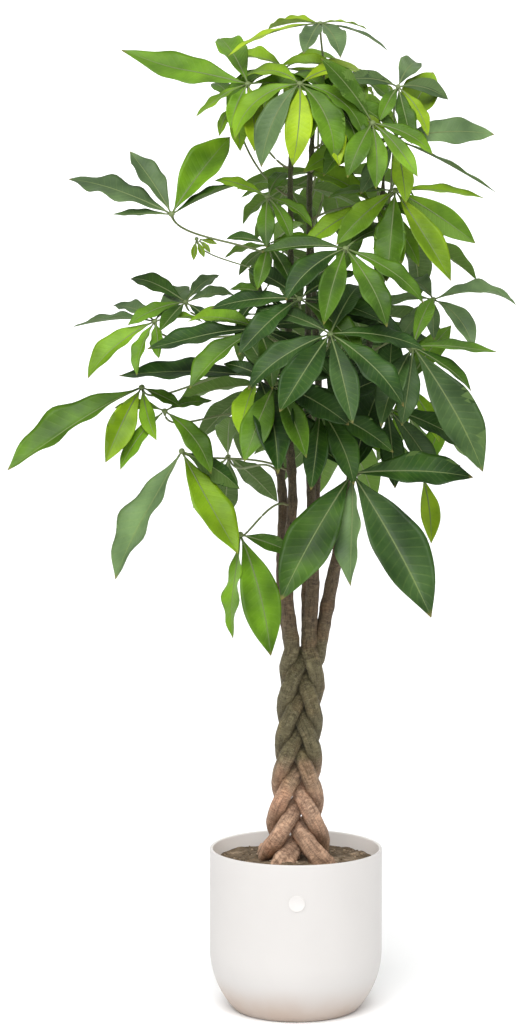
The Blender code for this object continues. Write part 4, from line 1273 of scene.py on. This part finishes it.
def add_stalk(bm, layers, leaf, slide):
    """The leaf stalk, swollen at both ends, and the hub that carries the leaflets."""
    _, tone = layers
    trunk_middle = trunk_point(leaf.trunk - 1, leaf.join + slide)

    def place(part, turn):
        inner = min(part / 0.93, 1)
        point, heading = stalk_path(leaf, slide, inner)
        if part > 0.93:
            point = point.lerp(trunk_middle, (part - 0.93) / 0.07)
        radius = 0.00145 + 0.0012 * math.exp(-part / 0.035) + 0.0012 * math.exp(-(1 - part) / 0.05)
        radius *= min(1, 0.55 + leaf.size * 4)
        side = heading.orthogonal().normalized()
        return point + (side * math.cos(turn) + heading.cross(side) * math.sin(turn)) * radius

    for vert, part, turn in tube(bm, 10, 28, place):
        vert[tone] = 0.25 + 0.75 * max(part - 0.8, 0) / 0.2
        for face in vert.link_faces:
            face.material_index = 2
    flat = Matrix.Diagonal((1, 1, 0.62, 1))
    tilt = direction(*leaf.face).to_track_quat("Z", "Y").to_matrix().to_4x4()
    size = HUB_RADIUS * min(1, 0.55 + leaf.size * 4)
    for vert in bmesh.ops.create_uvsphere(bm, u_segments=14, v_segments=9, radius=size,
                                          matrix=Matrix.Translation(leaf.hub) @ tilt @ flat)["verts"]:
        vert[tone] = 0.1
        for face in vert.link_faces:
            face.material_index = 2


def make_leaf(number, arranged, settings, materials):
    """One compound leaf."""
    leaf, slide, leaflets = arranged
    bm = bmesh.new()
    layers = bm.loops.layers.uv.new("blade"), bm.verts.layers.float.new("tone")
    usual, special = TONES.get(number, USUAL_TONE)
    chance = random.Random(number * 31)
    for place, leaflet in enumerate(leaflets):
        tone = special.get(place, usual + chance.uniform(-0.24, 0.24))
        usual_shape = [chance.uniform(*span) for span in ((0.92, 1.20), (-0.25, 0.40), (-0.10, 0.10))]
        width, curl, sweep = SHAPES.get((number, place), usual_shape)
        habit = Habit(width, settings.fold * chance.uniform(0.3, 1.8),
                      settings.wave * chance.uniform(0.4, 1.5), chance.random(), sweep, curl, tone)
        add_blade(bm, layers, leaflet, habit, settings)
    add_stalk(bm, layers, leaf, slide)
    add_piece(f"compound_leaf_{number:02d}", bm, materials, f"leaf_{number:02d}")


FLOOR_REACH = 12.0
CURVE_RADIUS = 3.0
WALL_HEIGHT = 5.0
FLOOR_GAP = 0.0002
KEY_HEADING = (0.10, 0.68, -1.0)
KEY_SOFTNESS = math.radians(50)
CAMERA_PLACE = (-0.043, -4.0, 1.08)
CAMERA_DIP = 6.1            # degrees below level


def make_stage(settings):
    """A pale round floor that curves up into a wall all round, soft light and the camera."""
    scene = bpy.context.scene
    arc = [math.radians(angle) for angle in range(0, 91, 6)]
    curved = [(FLOOR_REACH + CURVE_RADIUS * math.sin(turn), CURVE_RADIUS * (1 - math.cos(turn)) - FLOOR_GAP)
              for turn in arc]
    bm = turned([(0, -FLOOR_GAP), *curved, (FLOOR_REACH + CURVE_RADIUS, WALL_HEIGHT)], 96)
    mesh = bpy.data.meshes.new("floor")
    bm.to_mesh(mesh)
    bm.free()
    mesh.shade_smooth()
    mesh.materials.append(floor_paint(settings))
    floor = bpy.data.objects.new("floor", mesh)
    scene.collection.objects.link(floor)

    world = bpy.data.worlds.new("studio")
    scene.world = world
    world.use_nodes = True
    background = world.node_tree.nodes["Background"]
    background.inputs["Color"].default_value = (1, 1, 1, 1)
    background.inputs["Strength"].default_value = settings.daylight

    lamp = bpy.data.lights.new("key_light", "SUN")
    lamp.energy = settings.sun
    lamp.angle = KEY_SOFTNESS
    holder = bpy.data.objects.new("key_light", lamp)
    holder.rotation_euler = Vector(KEY_HEADING).to_track_quat("-Z", "Y").to_euler()
    scene.collection.objects.link(holder)

    camera = bpy.data.cameras.new("camera")
    camera.lens = settings.lens
    camera.clip_end = 200
    viewer = bpy.data.objects.new("camera", camera)
    viewer.location = CAMERA_PLACE
    viewer.rotation_euler = (math.radians(90 - CAMERA_DIP), 0, 0)
    scene.collection.objects.link(viewer)
    scene.camera = viewer
    scene.view_settings.view_transform = "Standard"


# ---------------------------------------------------------------- operators

class MONEY_TREE_OT_pot(bpy.types.Operator):
    """Make the planter and its button"""
    bl_idname = "money_tree.pot"
    bl_label = "Planter"

    def execute(self, context):
        make_pot(context.scene.money_tree.pot)
        make_button(context.scene.money_tree.pot)
        return {"FINISHED"}


class MONEY_TREE_OT_soil(bpy.types.Operator):
    """Make the soil"""
    bl_idname = "money_tree.soil"
    bl_label = "Soil"

    def execute(self, context):
        make_soil(context.scene.money_tree.soil)
        return {"FINISHED"}


class MONEY_TREE_OT_trunks(bpy.types.Operator):
    """Make the five braided trunks"""
    bl_idname = "money_tree.trunks"
    bl_label = "Trunks"

    def execute(self, context):
        settings = context.scene.money_tree.trunks
        material = bark_paint(settings)
        for strand in range(STRANDS):
            make_trunk(strand, settings, material)
        return {"FINISHED"}


class MONEY_TREE_OT_leaves(bpy.types.Operator):
    """Make the compound leaves"""
    bl_idname = "money_tree.leaves"
    bl_label = "Leaves"

    def execute(self, context):
        settings = context.scene.money_tree.leaves
        materials = [leaf_upper_paint(settings), leaf_under_paint(settings), stalk_paint(settings)]
        for number, arranged in enumerate(arrange(LEAVES), start=1):
            make_leaf(number, arranged, settings, materials)
        return {"FINISHED"}


class MONEY_TREE_OT_stage(bpy.types.Operator):
    """Make the floor, the light and the camera"""
    bl_idname = "money_tree.stage"
    bl_label = "Stage"

    def execute(self, context):
        make_stage(context.scene.money_tree.stage)
        return {"FINISHED"}


class MONEY_TREE_PT_panel(bpy.types.Panel):
    """Lists the pieces of the money tree"""
    bl_idname = "MONEY_TREE_PT_panel"
    bl_label = "Money Tree"
    bl_space_type = "VIEW_3D"
    bl_region_type = "UI"
    bl_category = "Money Tree"

    def draw(self, context):
        for operator in OPERATORS:
            self.layout.operator(operator.bl_idname)


OPERATORS = (MONEY_TREE_OT_pot, MONEY_TREE_OT_soil, MONEY_TREE_OT_trunks, MONEY_TREE_OT_leaves,
             MONEY_TREE_OT_stage)
CLASSES = (PotSettings, SoilSettings, TrunkSettings, LeafSettings, StageSettings, MoneyTreeSettings,
           *OPERATORS, MONEY_TREE_PT_panel)


def register():
    for item in CLASSES:
        bpy.utils.register_class(item)
    bpy.types.Scene.money_tree = bpy.props.PointerProperty(
        type=MoneyTreeSettings, name="Money Tree", description="Sizes and colours of the money tree")


def unregister():
    del bpy.types.Scene.money_tree
    for item in reversed(CLASSES):
        bpy.utils.unregister_class(item)


def main():
    register()
    bpy.ops.money_tree.pot()
    bpy.ops.money_tree.soil()
    bpy.ops.money_tree.trunks()
    bpy.ops.money_tree.leaves()
    bpy.ops.money_tree.stage()


if __name__ == "__main__":
    main()
